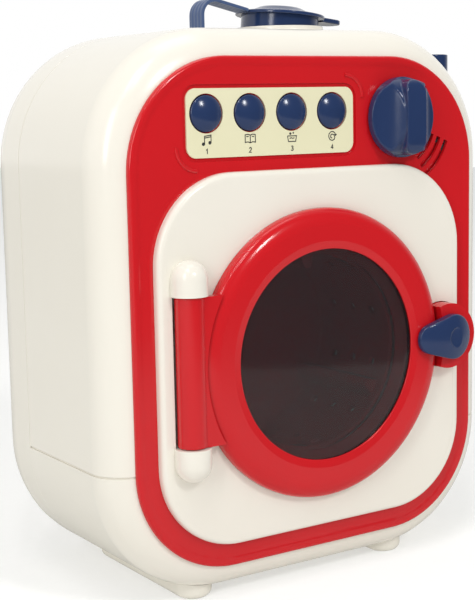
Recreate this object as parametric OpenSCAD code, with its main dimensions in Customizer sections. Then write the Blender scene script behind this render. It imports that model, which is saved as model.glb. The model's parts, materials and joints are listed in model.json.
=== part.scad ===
/* [Casing] */
// Width of the casing across its sides
body_w = 210; // [204:1:220]
// Height of the casing without its feet
body_h = 244.8; // [242:0.2:254]
// Depth of the casing from the front frame to the back
body_d = 120; // [118:1:132]
// Radius of the casing's corners, seen from the front
body_corner_r = 58.5; // [57:0.5:61]
// Thickness of the moulded casing walls
wall = 2.5; // [2:0.1:3]
// Radius of the roll round the casing's front edge
roll_r = 16; // [15:0.5:22]
// How far the roll draws the casing in at its front edge
roll_inset = 12.4; // [11:0.2:13]
// Radius of the rounded edge at the back
rear_edge_r = 27; // [22:1:29]
// Depth of the rear cover
cover_d = 41; // [38:1:44]
// Groove left showing where the upper casing meets the base
seam_gap = 0.8; // [0.4:0.1:1.2]
// Height of the tongue that locates one shell inside the next
tongue_h = 5; // [3:0.5:7]
// Height of the foot rails
foot_h = 5.4; // [3:0.2:8]
// Width of a foot rail
foot_w = 17.2; // [12:0.2:18]
// Length of a foot rail
foot_len = 86; // [60:1:90]
// Distance of a rail's centre line inside the casing's side
foot_inset = 50.2; // [48:0.2:58]
// How far the foot rails reach in front of the casing's middle
foot_reach = 47; // [40:1:48]
// Radius of a foot rail's rounded lower edge
foot_edge_r = 3.4; // [1:0.2:4]

/* [Front frame] */
// Width of the red front frame
frame_w = 185.2; // [183:0.2:186]
// Depth of the frame's upper edge below the casing's top
frame_drop = 12.3; // [12:0.1:13]
// Corner radius of the front frame
frame_corner_r = 48; // [46:1:50]
// Thickness of the front frame at its lip
frame_t = 2.5; // [2:0.1:3]
// Height of the frame's lower edge above the underside of the casing
frame_rise = 12; // [12:0.1:13]
// Width of the rounded lip round the frame
lip_w = 6; // [4:0.5:8]
// How far the lip stands proud of the frame's flat field
lip_rise = 0.8; // [0.4:0.1:1.2]

/* [Front panel] */
// Width of the cream front panel
panel_w = 160.6; // [158:0.2:162]
// Height of the strip above the panel that holds the controls
strip_h = 48.5; // [46:0.5:50]
// Corner radius of the front panel
panel_corner_r = 38.5; // [36:0.5:42]
// Height of the panel's lower edge above the frame's lower edge
panel_rise = 10.5; // [9:0.5:12]
// How far the panel stands out from the frame's lip
panel_proud = 3.3; // [2.5:0.1:4.5]
// Radius of the rounded edge round the panel
panel_edge_r = 2.4; // [1:0.1:3]
// Width of the ledge that carries the panel inside the frame
ledge = 4; // [3:0.5:5]

/* [Door] */
// Outer radius of the door ring
ring_r = 64.8; // [63:0.2:66]
// Radius of the window that shows inside the ring
window_r = 47.6; // [44:0.2:50]
// Depth of the door's centre below the panel's middle
door_drop = 1.25; // [0:0.25:2]
// How far the ring's crest stands out from the panel
ring_crest = 7.3; // [6:0.1:8]
// Thickness of the smoked window
window_t = 2; // [1.5:0.1:3]
// Radius of the hinge barrel
barrel_r = 6.4; // [5.6:0.1:7]
// Length of the hinge barrel
barrel_len = 63.6; // [56:0.2:70]
// Distance of the hinge line from the middle of the door
hinge_x = 69; // [68:0.2:70]
// Distance of the hinge line in front of the panel's face
hinge_out = 2.2; // [2:0.1:3]
// Radius of the cream ears that hold the hinge pin
ear_r = 8; // [7.4:0.1:8.4]
// Length of each ear, with its rounded end
ear_len = 15; // [12:0.5:18]
// Radius of the steel hinge pin
hinge_pin_r = 1.5; // [1.2:0.1:2]

/* [Latch] */
// Distance of the latch pivot from the middle of the door
latch_x = 70; // [70:0.2:71]
// Height of the latch pivot above the door's centre
latch_rise = 1; // [0:0.5:3]
// Radius of the latch's round end
latch_r = 9.9; // [9:0.1:10.4]
// Reach of the latch's nose from its pivot
latch_reach = 19.6; // [19:0.2:24]
// Radius of the nose's tip
latch_tip_r = 6.4; // [4:0.1:7]
// Thickness of the latch
latch_t = 6; // [5:0.1:8]
// Radius of the red boss behind the latch
boss_r = 15.3; // [14:0.1:15.4]
// Radius of the latch's shaft
latch_shaft_r = 3; // [2.6:0.1:3.2]

/* [Controls] */
// Width of the label plate
label_w = 87; // [84:1:88]
// Height of the label plate
label_h = 28.8; // [27:0.2:30]
// Corner radius of the label plate
label_corner_r = 4.6; // [3:0.1:6]
// Thickness of the label plate
label_t = 0.8; // [0.6:0.1:1]
// Distance of the label's middle to the left of the door's middle
label_x = 21.1; // [20:0.1:22]
// Depth of the label's middle below the frame's upper edge
label_drop = 27.9; // [27:0.1:29]
// Radius of a push button
button_r = 7.6; // [6.6:0.1:8]
// Distance between neighbouring push buttons
button_pitch = 21.8; // [20.6:0.1:22.4]
// Height of the button row above the label's middle
button_rise = 4; // [3:0.2:4.6]
// How far the push buttons stand out from the label
button_proud = 2.4; // [2:0.1:4]
// Rise of the dome on a push button
button_dome = 2.2; // [1.4:0.1:3]
// Travel of a push button
button_travel = 2; // [1:0.1:2.2]
// Radius of the programme knob
knob_r = 18; // [16:0.2:18.4]
// Distance of the knob to the right of the door's middle
knob_x = 48.5; // [47:0.5:50]
// Depth of the knob's middle below the frame's upper edge
knob_drop = 27.5; // [27:0.1:29]
// Thickness of the knob's disc
knob_disc_t = 4; // [3:0.1:5]
// Height of the knob's grip
knob_grip_h = 13; // [10:0.1:15]
// Width of the knob's grip
knob_grip_w = 10.5; // [8:0.5:12]
// Radius of the crown along the knob's grip
knob_crown_r = 42; // [30:1:80]
// Radius of the knob's shaft
knob_shaft_r = 3; // [2.5:0.1:3.5]
// Radius of the innermost sound slot, about the knob's middle
slot_r = 21.8; // [21:0.1:23]
// Distance between the sound slots
slot_pitch = 4.65; // [4:0.05:5]
// Width of a sound slot
slot_w = 1.8; // [1.2:0.1:2.2]
// Radius of the loudspeaker
speaker_r = 13; // [10:0.5:13.5]

/* [Drum and tub] */
// Outer radius of the drum
drum_r = 49.5; // [47:0.5:50]
// Radius of the drum's mouth
drum_mouth_r = 43; // [40:0.5:44]
// Depth of the drum behind its mouth
drum_d = 58; // [50:1:58]
// Wall of the drum
drum_wall = 2; // [1.6:0.1:2.4]
// Outer radius of the tub round the drum
tub_r = 54; // [53:0.5:54.5]
// Wall of the tub
tub_wall = 2; // [1.6:0.1:2.4]
// Number of lifters inside the drum
lifters = 3; // [2:1:4]
// Height of a lifter
lifter_h = 11; // [8:0.5:14]
// Number of holes round the drum in each row
drum_holes = 12; // [6:3:15]
// Number of rows of holes along the drum
drum_rows = 3; // [1:1:4]
// Radius of a drum hole
drum_hole_r = 2; // [1.5:0.1:3]
// Radius of the drum's steel shaft
drum_shaft_r = 2; // [1.5:0.1:2.5]

/* [Gear train] */
// Module of the gears: pitch diameter over number of teeth
gear_module = 0.8; // [0.7:0.05:0.85]
// Teeth on the drum gear
drum_teeth = 45; // [45]
// Teeth on the idler's small gear
idler_small_teeth = 12; // [12]
// Teeth on the idler's large gear
idler_large_teeth = 36; // [36]
// Teeth on the motor's pinion
pinion_teeth = 10; // [10]
// Width of each gear along its shaft
gear_width = 4.5; // [3:0.5:5]
// Radius of the motor can
motor_r = 10; // [8:0.5:11]
// Distance across the motor can's flats
motor_flats = 15; // [13:0.5:17]
// Length of the motor can
motor_len = 25; // [20:0.5:26]

/* [Batteries] */
// Radius of one battery
cell_r = 7.15; // [7.15]
// Length of one battery
cell_len = 50; // [50]
// Number of batteries
cells = 3; // [3]
// Thickness of the battery cover
battery_cover_t = 2.2; // [1.6:0.1:2.4]

/* [Filling and draining] */
// Distance of the filler to the right of the casing's middle
filler_x = 17.5; // [15:0.5:20]
// Distance of the filler in front of the casing's middle
filler_front = 10; // [6:1:12]
// Radius of the filler's bore
filler_r = 15; // [13:0.5:15]
// Height of the filler's collar above the casing
filler_neck_h = 2.8; // [2:0.1:3.2]
// Depth of the filler's cup, in which the plug sits, below the casing's top
filler_cup_d = 6.2; // [6:0.1:8]
// Radius of the cap's plug
cap_plug_r = 18.2; // [17.8:0.1:18.6]
// Length of the cap's plug below its lid
cap_plug_len = 9.4; // [8:0.1:9.6]
// Radius of the cap's lid
cap_r = 21.2; // [20.8:0.1:22]
// Height of the lid above the casing at the plug's middle
cap_rise = 7.4; // [7:0.1:8]
// Height of the crown above the lid's underside
cap_h = 5; // [4.4:0.1:6]
// Radius of the raised disc in the middle of the lid
cap_disc_r = 11; // [9:0.1:14]
// How far the cap leans over to its tab, in degrees
cap_lean = 5; // [0:0.5:5]
// Length of the cap's pull tab
tab_len = 11.7; // [10:0.1:12.5]
// Width of the cap's strap
strap_w = 11; // [8:0.5:14]
// Thickness of the cap's strap
strap_t = 1.5; // [1.2:0.1:2]
// Distance from the cap's middle to the strap's root
strap_reach = 46; // [44:0.5:48]
// Height of the strap's arch above the casing
strap_h = 14.9; // [14:0.1:16]
// Outer radius of the drain pipe
pipe_r = 7.6; // [6:0.1:8]
// Radius of the drain pipe's bore
pipe_bore_r = 5.6; // [4.4:0.1:5.8]
// Height of the drain pipe's open end above the floor
pipe_top = 240.9; // [220:0.1:246]
// Height of the drain pipe's swivel above the underside of the casing
outlet_rise = 37.6; // [36:0.2:42]
// Distance of the drain pipe in front of the casing's middle
outlet_front = 7; // [4:1:10]
// Radius of the swivel hub at the foot of the drain pipe
hub_r = 11; // [10:0.5:12]
// Radius of the outlet spigot that the pipe swivels on
spigot_r = 5; // [4.5:0.1:5.5]
// Radius of the bore through the outlet spigot
spigot_bore_r = 3.5; // [3:0.1:4]

/* [Fits] */
// Clearance between neighbouring moulded parts
fit_gap = 0.3; // [0.2:0.05:0.5]
// Clearance round a part that turns or slides in another
running_gap = 0.05; // [0.03:0.01:0.1]
// Radius of the shank of the casing screws
screw_r = 1.3; // [1.2:0.05:1.5]
// Radius of the head of the casing screws
screw_head_r = 2.8; // [2.4:0.1:3]

/* [Hidden] */
$fn = 72;

// Heights above the floor (Z) and depths in front of the casing's middle (called out)
cream = "#F4F0E6";
red = "#CB2128";
blue = "#2F4480";
steel = "#B9BDC2";
roll_steps = 10;
edge_steps = 5;
front_out = body_d / 2;
seat_out = front_out - frame_t;
field_out = front_out - lip_rise;
panel_out = front_out + panel_proud;
panel_back = panel_out - wall;
roll_depth = sqrt(pow(roll_r, 2) - pow(roll_r - roll_inset, 2));
roll_out = seat_out - roll_depth;
roll_lip = 2;
cover_out = cover_d - body_d / 2;
rear_out = -body_d / 2;
foot_peg_r = 2;
foot_spacing = body_w - 2 * foot_inset;
foot_pegs = [foot_w / 2 - foot_reach, -cover_out - 8];
corner_x = body_w / 2 - body_corner_r;
low_z = foot_h + body_corner_r;
high_z = foot_h + body_h - body_corner_r;
top_z = foot_h + body_h;
body_mid_z = foot_h + body_h / 2;
frame_z = foot_h + frame_rise;
frame_h = body_h - frame_rise - frame_drop;
frame_mid_z = frame_z + frame_h / 2;
frame_top = frame_z + frame_h;
panel_z = frame_z + panel_rise;
panel_h = frame_h - panel_rise - strip_h;
panel_mid_z = panel_z + panel_h / 2;
door_z = panel_mid_z - door_drop;
crest_out = panel_out + ring_crest;
ring_back = panel_out + fit_gap + 0.1;
window_back = ring_back + 0.5;
window_front = window_back + window_t;
hinge_z0 = door_z - barrel_len / 2;
hinge_h = panel_out + hinge_out;
pocket_r = barrel_r + 1;
pocket_wall = 2.2;
latch_z = door_z + latch_rise;
latch_back = crest_out + 0.4;
latch_front = latch_back + latch_t;
latch_crown_r = 40;
latch_dimple_r = 14;
latch_screw_r = 1;
latch_washer_r = 5;
boss_front = latch_back - fit_gap;
boss_floor = boss_front - 8;
door_clearance = 1;
label_mid_z = frame_top - label_drop;
button_z = label_mid_z + button_rise;
knob_z = frame_top - knob_drop;
label_back = field_out - label_t;
button_flange_r = button_r + 1.4;
button_flange_t = 1.8;
button_flange_front = seat_out - fit_gap;
button_tip = field_out + button_proud;
button_back = seat_out - 4.5;
membrane_t = 1.6;
membrane_dome_h = 1.2;
membrane_top = button_back - button_travel - fit_gap;
board_front = membrane_top - membrane_dome_h - membrane_t;
board_t = 1.6;
board_w = 98;
board_h = 20;
board_x = -23;
board_post_r = 2.5;
knob_back = field_out + 0.4;
speaker_angle = -40;
slot_span = 35;
slot_count = 3;
speaker_x = knob_x + (slot_r + slot_pitch) * cos(speaker_angle);
speaker_z = knob_z + (slot_r + slot_pitch) * sin(speaker_angle) - 3;
speaker_d = 9;
cuff_r = 52.2;
cuff_wall = 2.5;
flange_front = seat_out + 0.6;
flange_t = 2;
tub_boss_r = 3;
tub_front = flange_front - flange_t;
tub_mouth_r = drum_mouth_r + 3;
tub_screw_head_r = 2;
tub_screw_r = tub_r + 0.2 + tub_screw_head_r;
tub_flange_r = tub_screw_r + tub_screw_head_r + 0.4;
drum_front = tub_front - 1;
drum_back = drum_front - drum_d;
drum_hub_len = 3;
drum_hub_r = 6;
drum_collar_front = flange_front - 0.2;
tub_floor_front = drum_back - drum_hub_len - 2;
tub_floor_t = 2.5;
tub_back = tub_floor_front - tub_floor_t;
tub_boss_t = 2;
plate_front = tub_back - tub_boss_t;
plate_t = 2;
box_corner_r = 8;
gear_gap = 1.2;
gear_a_front = plate_front - plate_t - gear_gap;
gear_b_front = gear_a_front - gear_width - gear_gap;
box_floor_front = gear_b_front - gear_width - gear_gap;
box_floor_t = 2;
box_back = box_floor_front - box_floor_t;
box_screw_r = 1.2;
drum_pitch_r = gear_module * drum_teeth / 2;
idler_small_r = gear_module * idler_small_teeth / 2;
idler_large_r = gear_module * idler_large_teeth / 2;
pinion_r = gear_module * pinion_teeth / 2;
idler_angle = 60;
motor_angle = -20;
idler_x = (drum_pitch_r + idler_small_r) * cos(idler_angle);
idler_z = door_z + (drum_pitch_r + idler_small_r) * sin(idler_angle);
motor_x = idler_x + (idler_large_r + pinion_r) * cos(motor_angle);
motor_z = idler_z + (idler_large_r + pinion_r) * sin(motor_angle);
box_left = -drum_pitch_r - 6;
box_right = motor_x + motor_r + 7.3;
box_low = door_z - drum_pitch_r - 6;
box_high = idler_z + idler_large_r + 7.86;
box_w = box_right - box_left;
box_h = box_high - box_low;
box_x = (box_left + box_right) / 2;
box_z = (box_low + box_high) / 2;
axle_r = 1.2;
motor_shaft_r = 1;
motor_front = box_back - 0.1;
motor_socket = 6;
cell_pitch = 2 * cell_r + 0.7;
battery_wall = 1.5;
battery_in_w = cell_len + 6;
battery_in_h = cells * cell_pitch + 1;
battery_in_d = 2 * cell_r + 1;
battery_z = foot_h + 60.5;
battery_rim = rear_out + wall;
battery_lip = 6;
battery_flange = 3;
battery_front = battery_rim + battery_in_d + battery_wall;
battery_screw_z = battery_z + battery_in_h / 2 + battery_lip / 2;
contact_t = 0.8;
cover_post_r = 4;
cover_post_front = 2;
cover_post_floor = 2;
low_post = [frame_w / 2 - 28.2, frame_z + 13.6];
high_post = [frame_w / 2 - 40.2, frame_top - 8.9];
cover_posts = [[-low_post[0], low_post[1]], low_post, [-high_post[0], high_post[1]], high_post];
screw_len = 14;
screw_head_t = 2;
plug_gap = 1;
neck_r = cap_plug_r + plug_gap;
neck_wall = 1;
neck_floor_t = 1.4;
neck_out_r = neck_r + neck_wall;
collar_wall = 1.4;
cap_plug_wall = 1.3;
cap_lid_t = 1.4;
cap_step = 1.1;
cap_pivot = 1;
cap_stem = cap_rise - cap_pivot;
funnel_top = top_z - filler_cup_d - neck_floor_t - fit_gap;
spout_r = 7.2;
spout_bore_r = 5.4;
tub_spout_top = tub_r + 6;
strap_x = filler_x - strap_reach;
strap_bend_r = 7.4;
outlet_z = foot_h + outlet_rise;
outlet_face = body_w / 2 + 1.5;
hub_back = outlet_face + fit_gap;
hub_len = 2 * pipe_r;
pipe_x = hub_back + pipe_r;
duct_x = 12;
duct_r = 5.5;
duct_bore_r = 3.5;

// Turns a face drawn in the XY plane upright, so that its local Z points out of the front
module upright() {
    rotate([90, 0, 0]) children();
}

// A disc or ring section turned about the line through (x, z) that points out of the front
module turned(x, z) {
    upright() translate([x, z, 0]) rotate_extrude() children();
}

// A plain bar along the line through (x, z) that points out of the front
module bar(x, z, r, back, front) {
    upright() translate([x, z, back]) cylinder(r = r, h = front - back);
}

// A tube along the same line
module tube(x, z, r, bore, back, front) {
    upright() translate([x, z, back]) difference() {
        cylinder(r = r, h = front - back);
        translate([0, 0, -1]) cylinder(r = bore, h = front - back + 2);
    }
}

module rounded_rect(w, h, r) {
    square([w - 2 * r, h], center = true);
    square([w, h - 2 * r], center = true);
    for (x = [-1, 1], y = [-1, 1])
        translate([x * (w / 2 - r), y * (h / 2 - r)]) circle(r = r);
}

// Points along an arc from angle a to angle b
function arc(cx, cy, r, a, b, steps) = [
    for (i = [0:steps]) let (t = a + (b - a) * i / steps) [cx + r * cos(t), cy + r * sin(t)]
];

// Carries a section round a rounded rectangle; x in the section is measured from the corner's centre
module swept(w, h, r) {
    for (i = [0:3])
        let (x = (i == 0 || i == 3) ? 1 : -1, y = i < 2 ? 1 : -1)
        translate([x * (w / 2 - r), y * (h / 2 - r), 0])
        rotate([0, 0, 90 * i])
        rotate_extrude(angle = 90) children();
    for (i = [0:1]) {
        rotate([0, 0, 180 * i]) translate([w / 2 - r, 0, 0])
            rotate([90, 0, 0]) linear_extrude(h - 2 * r, center = true) children();
        rotate([0, 0, 90 + 180 * i]) translate([h / 2 - r, 0, 0])
            rotate([90, 0, 0]) linear_extrude(w - 2 * r, center = true) children();
    }
}

// Outer edge of the casing's section at distance d inside the surface, from the front edge back to a depth
function casing_edge(d, back) = concat(
    [
        for (i = [0:roll_steps])
            let (
                lip = d > 0 ? roll_lip : 0,
                start = acos((roll_r - roll_inset - lip) / (roll_r - d)),
                t = start * (1 - i / roll_steps)
            )
            [body_corner_r - roll_r + (roll_r - d) * cos(t), roll_out + (roll_r - d) * sin(t)]
    ],
    [[body_corner_r - d, back]]
);

module casing_section(back) {
    outer = casing_edge(0, back);
    inner = casing_edge(wall, back);
    lip = [inner[0][0], seat_out];
    polygon(concat([lip], outer, [for (i = [len(inner) - 1:-1:0]) inner[i]]));
}

// A tongue just inside the casing wall
module tongue_section(from, to) {
    r = body_corner_r - wall - 0.1;
    polygon([[r, from], [r, to], [r - wall / 2, to], [r - wall / 2, from]]);
}

// A screw along the front-to-back line, head at the back
module screw_bar(x, z, head_back, length, r, head_r, head_t) {
    bar(x, z, head_r, head_back, head_back + head_t);
    bar(x, z, r, head_back + head_t, head_back + head_t + length);
}

module upper_casing() {
    color(cream) difference() {
        upright() {
            for (i = [0:1])
                translate([(i == 0 ? 1 : -1) * corner_x, high_z, 0])
                rotate([0, 0, 90 * i]) rotate_extrude(angle = 90) casing_section(cover_out);
            for (i = [0:1]) mirror([i, 0, 0])
                translate([corner_x, (low_z + seam_gap + high_z) / 2, 0])
                rotate([90, 0, 0])
                linear_extrude(high_z - low_z - seam_gap, center = true) casing_section(cover_out);
            translate([0, high_z, 0]) rotate([0, 0, 90]) rotate([90, 0, 0])
                linear_extrude(2 * corner_x, center = true) casing_section(cover_out);
        }
        translate([filler_x, -filler_front, top_z - 2 * wall])
            cylinder(r = neck_out_r + fit_gap, h = 4 * wall);
        translate([strap_x + strap_t / 2, -filler_front, top_z])
            cube([2 * strap_t + 0.4, strap_w + 0.4, 4 * wall], center = true);
    }
}

module base_casing() {
    color(cream) difference() {
        union() {
            upright() {
                for (i = [0:1])
                    translate([(i == 0 ? -1 : 1) * corner_x, low_z, 0])
                    rotate([0, 0, 180 + 90 * i]) rotate_extrude(angle = 90) casing_section(cover_out);
                translate([0, low_z, 0]) rotate([0, 0, -90]) rotate([90, 0, 0])
                    linear_extrude(2 * corner_x, center = true) casing_section(cover_out);
                for (i = [0:1]) mirror([i, 0, 0])
                    translate([body_w / 2 - wall - 0.1 - wall / 2, low_z - tongue_h, cover_out + 8])
                    cube([wall / 2, 2 * tongue_h, roll_out - cover_out - 8]);
            }
            translate([body_w / 2 - 14, -outlet_front, outlet_z]) rotate([0, 90, 0])
                cylinder(r = hub_r + 1.5, h = outlet_face - body_w / 2 + 14);
            for (i = [0:1]) mirror([i, 0, 0])
                translate([body_w / 2 - 1.8 * wall, -roll_out, low_z - tongue_h])
                cube([1.2 * wall, roll_out - cover_out - 8, tongue_h - 1]);
        }
        translate([body_w / 2 - 15, -outlet_front, outlet_z]) rotate([0, 90, 0])
            cylinder(r = spigot_r + running_gap, h = 30);
        for (x = [-1, 1], y = foot_pegs)
            translate([x * foot_spacing / 2, y, foot_h - 1]) cylinder(r = foot_peg_r + 0.1, h = 4 * wall);
    }
}

module rear_section() {
    outer = arc(body_corner_r - rear_edge_r, rear_out + rear_edge_r, rear_edge_r, 0, -90, roll_steps);
    inner_r = rear_edge_r - wall;
    inner = arc(body_corner_r - rear_edge_r, rear_out + rear_edge_r, inner_r, -90, 0, roll_steps);
    polygon(concat(
        [[body_corner_r, cover_out - fit_gap / 3]], outer, inner,
        [[body_corner_r - wall, cover_out - fit_gap / 3]]
    ));
}

// The screw tubes, cut off where the cover's outside curves in front of their ends
module post_tubes() {
    intersection() {
        for (p = cover_posts) bar(p[0], p[1], cover_post_r, rear_out + wall / 2, cover_post_front);
        upright() translate([0, body_mid_z, 0])
            swept(body_w, body_h, body_corner_r)
            polygon(concat(
                [[0, cover_post_front + 1], [body_corner_r, cover_post_front + 1]],
                arc(body_corner_r - rear_edge_r, rear_out + rear_edge_r, rear_edge_r, 0, -90, roll_steps),
                [[0, rear_out]]
            ));
    }
}

module rear_cover() {
    color(cream) difference() {
        union() {
            upright() translate([0, body_mid_z, 0]) {
                swept(body_w, body_h, body_corner_r) rear_section();
                swept(body_w, body_h, body_corner_r) tongue_section(cover_out - 4, cover_out + tongue_h);
                swept(body_w, body_h, body_corner_r)
                    translate([body_corner_r - 1.6 * wall, cover_out - 4]) square([wall, tongue_h - 2]);
                translate([0, 0, rear_out]) linear_extrude(wall)
                    rounded_rect(body_w - 2 * rear_edge_r, body_h - 2 * rear_edge_r,
                        body_corner_r - rear_edge_r);
            }
            post_tubes();
        }
        for (p = cover_posts) {
            bar(p[0], p[1], screw_head_r + 0.3, rear_out - 1, cover_post_front - cover_post_floor);
            bar(p[0], p[1], screw_r + 0.2, rear_out - 1, cover_post_front + 1);
        }
        upright() translate([0, battery_z, rear_out - 1])
            linear_extrude(wall + 2)
            rounded_rect(battery_in_w + 2 * battery_lip, battery_in_h + 2 * battery_lip, 3);
        translate([filler_x, -filler_front, top_z - 4 * wall])
            cylinder(r = neck_out_r + fit_gap, h = 4 * wall);
    }
}

// The lower part of the casing's outer form, as one block a hair larger all round
module casing_core() {
    section = concat(casing_edge(-0.1, rear_out), [[0, rear_out], [0, seat_out]]);
    upright() {
        for (i = [0:1])
            translate([(i == 0 ? -1 : 1) * corner_x, low_z, 0])
            rotate([0, 0, 180 + 90 * i]) rotate_extrude(angle = 90) polygon(section);
        translate([0, low_z, 0]) rotate([0, 0, -90]) rotate([90, 0, 0])
            linear_extrude(2 * corner_x, center = true) polygon(section);
    }
}

// Half of a foot rail's section: flat below, with a rounded lower edge
module foot_section() {
    polygon(concat(
        [[0, 0]],
        arc(foot_w / 2 - foot_edge_r, foot_edge_r, foot_edge_r, -90, 0, edge_steps),
        [[foot_w / 2, foot_h + 6], [0, foot_h + 6]]
    ));
}

// A round-ended rail whose top follows the casing's underside
module foot_rail(side) {
    run = foot_len - foot_w;
    color(cream) {
        difference() {
            translate([side * foot_spacing / 2, foot_w / 2 - foot_reach, 0]) {
                rotate([0, 0, 180]) rotate_extrude(angle = 180) foot_section();
                translate([0, run, 0]) rotate_extrude(angle = 180) foot_section();
                for (i = [0:1]) mirror([i, 0, 0])
                    translate([0, run / 2, 0]) rotate([90, 0, 0])
                    linear_extrude(run, center = true) foot_section();
            }
            casing_core();
        }
        for (y = foot_pegs)
            translate([side * foot_spacing / 2, y, foot_h - 0.5])
            cylinder(r = foot_peg_r, h = wall + 2.5);
    }
}

module left_foot_rail() {
    foot_rail(-1);
}

module right_foot_rail() {
    foot_rail(1);
}

// Section of the frame's border: flat behind, with a rounded lip in front
module frame_section() {
    r = frame_corner_r;
    polygon(concat(
        [[r - lip_w, seat_out], [r, seat_out]],
        arc(r - 1.6, front_out - 1.6, 1.6, 0, 90, edge_steps),
        [[r - 2.6, front_out], [r - 4, field_out + 0.15], [r - lip_w, field_out]]
    ));
}

module frame_opening() {
    rounded_rect(panel_w - 2 * ledge, panel_h - 2 * ledge, panel_corner_r - ledge);
}

// A raised quarter ring round one corner of the label
module corner_rib(x, z, turn) {
    translate([x, z, field_out - 0.3]) rotate([0, 0, turn])
        rotate_extrude(angle = 90)
        translate([label_corner_r + 4.6, 0]) square([1.2, 0.8]);
}

module front_frame() {
    color(red) difference() {
        union() {
            upright() {
                translate([0, frame_mid_z, 0])
                    swept(frame_w, frame_h, frame_corner_r) frame_section();
                translate([0, 0, seat_out]) linear_extrude(field_out - seat_out) difference() {
                    translate([0, frame_mid_z])
                        rounded_rect(frame_w - 2 * lip_w, frame_h - 2 * lip_w, frame_corner_r - lip_w);
                    translate([0, panel_mid_z]) frame_opening();
                }
                corner_rib(-label_x - label_w / 2 + label_corner_r,
                    label_mid_z - label_h / 2 + label_corner_r, 180);
                corner_rib(-label_x + label_w / 2 - label_corner_r,
                    label_mid_z + label_h / 2 - label_corner_r, 0);
            }
            bar(latch_x, latch_z, boss_r, seat_out, boss_front);
            for (p = cover_posts) bar(p[0], p[1], cover_post_r, cover_post_front, seat_out + 0.5);
            for (x = [-1, 1])
                bar(board_x + x * (board_w / 2 - 3), button_z, board_post_r, board_front, seat_out + 0.5);
        }
        bar(latch_x, latch_z, boss_r - 2.5, seat_out - 1, boss_floor);
        bar(latch_x, latch_z, latch_shaft_r + running_gap, seat_out - 1, boss_front + 1);
        bar(0, door_z, ring_r + door_clearance, field_out, boss_front + 1);
        bar(0, door_z, tub_flange_r + 1, seat_out - 1, field_out + 1);
        for (p = cover_posts)
            bar(p[0], p[1], screw_r + running_gap, cover_post_front - 1, cover_post_front + screw_len);
        for (x = [-1, 1])
            bar(board_x + x * (board_w / 2 - 3), button_z, 1, board_front - 1, board_front + 6);
        upright() translate([-label_x, label_mid_z, label_back])
            linear_extrude(2) rounded_rect(label_w + 1.6, label_h + 1.6, label_corner_r + 0.8);
        for (i = [0:3]) bar(button_x(i), button_z, button_r + fit_gap, seat_out - 1, front_out + 1);
        bar(knob_x, knob_z, knob_shaft_r + 0.5, seat_out - 1, front_out + 1);
        for (i = [0:slot_count - 1])
            upright() translate([knob_x, knob_z, seat_out - 1])
            rotate([0, 0, speaker_angle - slot_span / 2]) rotate_extrude(angle = slot_span)
            translate([slot_r + i * slot_pitch - slot_w / 2, 0]) square([slot_w, 5]);
    }
}

// Section of the panel's rim: a thin face turned back to the frame through a rounded edge
module panel_section() {
    r = panel_corner_r;
    inner_r = max(0.2, panel_edge_r - 1.2);
    polygon(concat(
        [[r, field_out]],
        arc(r - panel_edge_r, panel_out - panel_edge_r, panel_edge_r, 0, 90, edge_steps),
        [[r - 8, panel_out], [r - 8, panel_back]],
        arc(r - wall - inner_r, panel_back - inner_r, inner_r, 90, 0, edge_steps),
        [[r - wall, field_out]]
    ));
}

// A round-ended ear for the hinge pin, from its flat end outwards along local Z
module hinge_ear() {
    cylinder(r = ear_r, h = ear_len - ear_r);
    translate([0, 0, ear_len - ear_r]) sphere(r = ear_r);
}

module front_panel() {
    color(cream) difference() {
        union() {
            upright() {
                translate([0, panel_mid_z, 0]) {
                    swept(panel_w, panel_h, panel_corner_r) panel_section();
                    translate([0, 0, panel_back]) linear_extrude(wall)
                        rounded_rect(panel_w - 16, panel_h - 16, panel_corner_r - 8);
                }
                translate([0, door_z, flange_front])
                    cylinder(r = cuff_r + cuff_wall, h = panel_back - flange_front + 0.5);
                for (i = [0:3]) translate(tub_screw(i)) translate([0, 0, flange_front])
                    cylinder(r = tub_boss_r, h = panel_back - flange_front + 0.5);
            }
            intersection() {
                translate([-hinge_x, -hinge_h, hinge_z0 - 1 - pocket_wall])
                    cylinder(r = pocket_r + pocket_wall, h = barrel_len + 2 + 2 * pocket_wall);
                translate([-hinge_x - 20, -panel_out, hinge_z0 - 20]) cube([40, 20, barrel_len + 40]);
            }
            translate([-hinge_x, -hinge_h, hinge_z0 + barrel_len + fit_gap]) hinge_ear();
            translate([-hinge_x, -hinge_h, hinge_z0 - fit_gap]) mirror([0, 0, 1]) hinge_ear();
        }
        bar(0, door_z, cuff_r, flange_front - 1, panel_out + 1);
        translate([-hinge_x, -hinge_h, hinge_z0 - fit_gap])
            cylinder(r = pocket_r, h = barrel_len + 2 * fit_gap);
        translate([-hinge_x, -hinge_h, hinge_z0 - ear_len + ear_r])
            cylinder(r = hinge_pin_r + running_gap / 2, h = barrel_len + 2 * (ear_len - ear_r));
        bar(latch_x, latch_z, boss_r + fit_gap, field_out - 1, panel_out + 10);
        for (i = [0:3])
            bar(tub_screw(i)[0], tub_screw(i)[1], screw_r + running_gap, flange_front - 1, flange_front + 2);
    }
}

module label_plate() {
    color("#E9E5C2") upright() difference() {
        translate([-label_x, label_mid_z, label_back]) linear_extrude(label_t)
            rounded_rect(label_w, label_h, label_corner_r);
        for (i = [0:3])
            translate([button_x(i), button_z, label_back - 1]) cylinder(r = button_r + fit_gap, h = 5);
    }
}

function button_x(i) = (i - 1.5) * button_pitch - label_x - 1;

// A domed push button with a flange that keeps it behind the frame
module push_button(i) {
    dome_r = (pow(button_r, 2) + pow(button_dome, 2)) / (2 * button_dome);
    color(blue) {
        intersection() {
            bar(button_x(i), button_z, button_r, button_back, button_tip + 1);
            upright() translate([button_x(i), button_z, button_tip - dome_r]) sphere(r = dome_r);
        }
        bar(button_x(i), button_z, button_flange_r, button_flange_front - button_flange_t,
            button_flange_front);
    }
}

module button_1() {
    push_button(0);
}

module button_2() {
    push_button(1);
}

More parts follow.
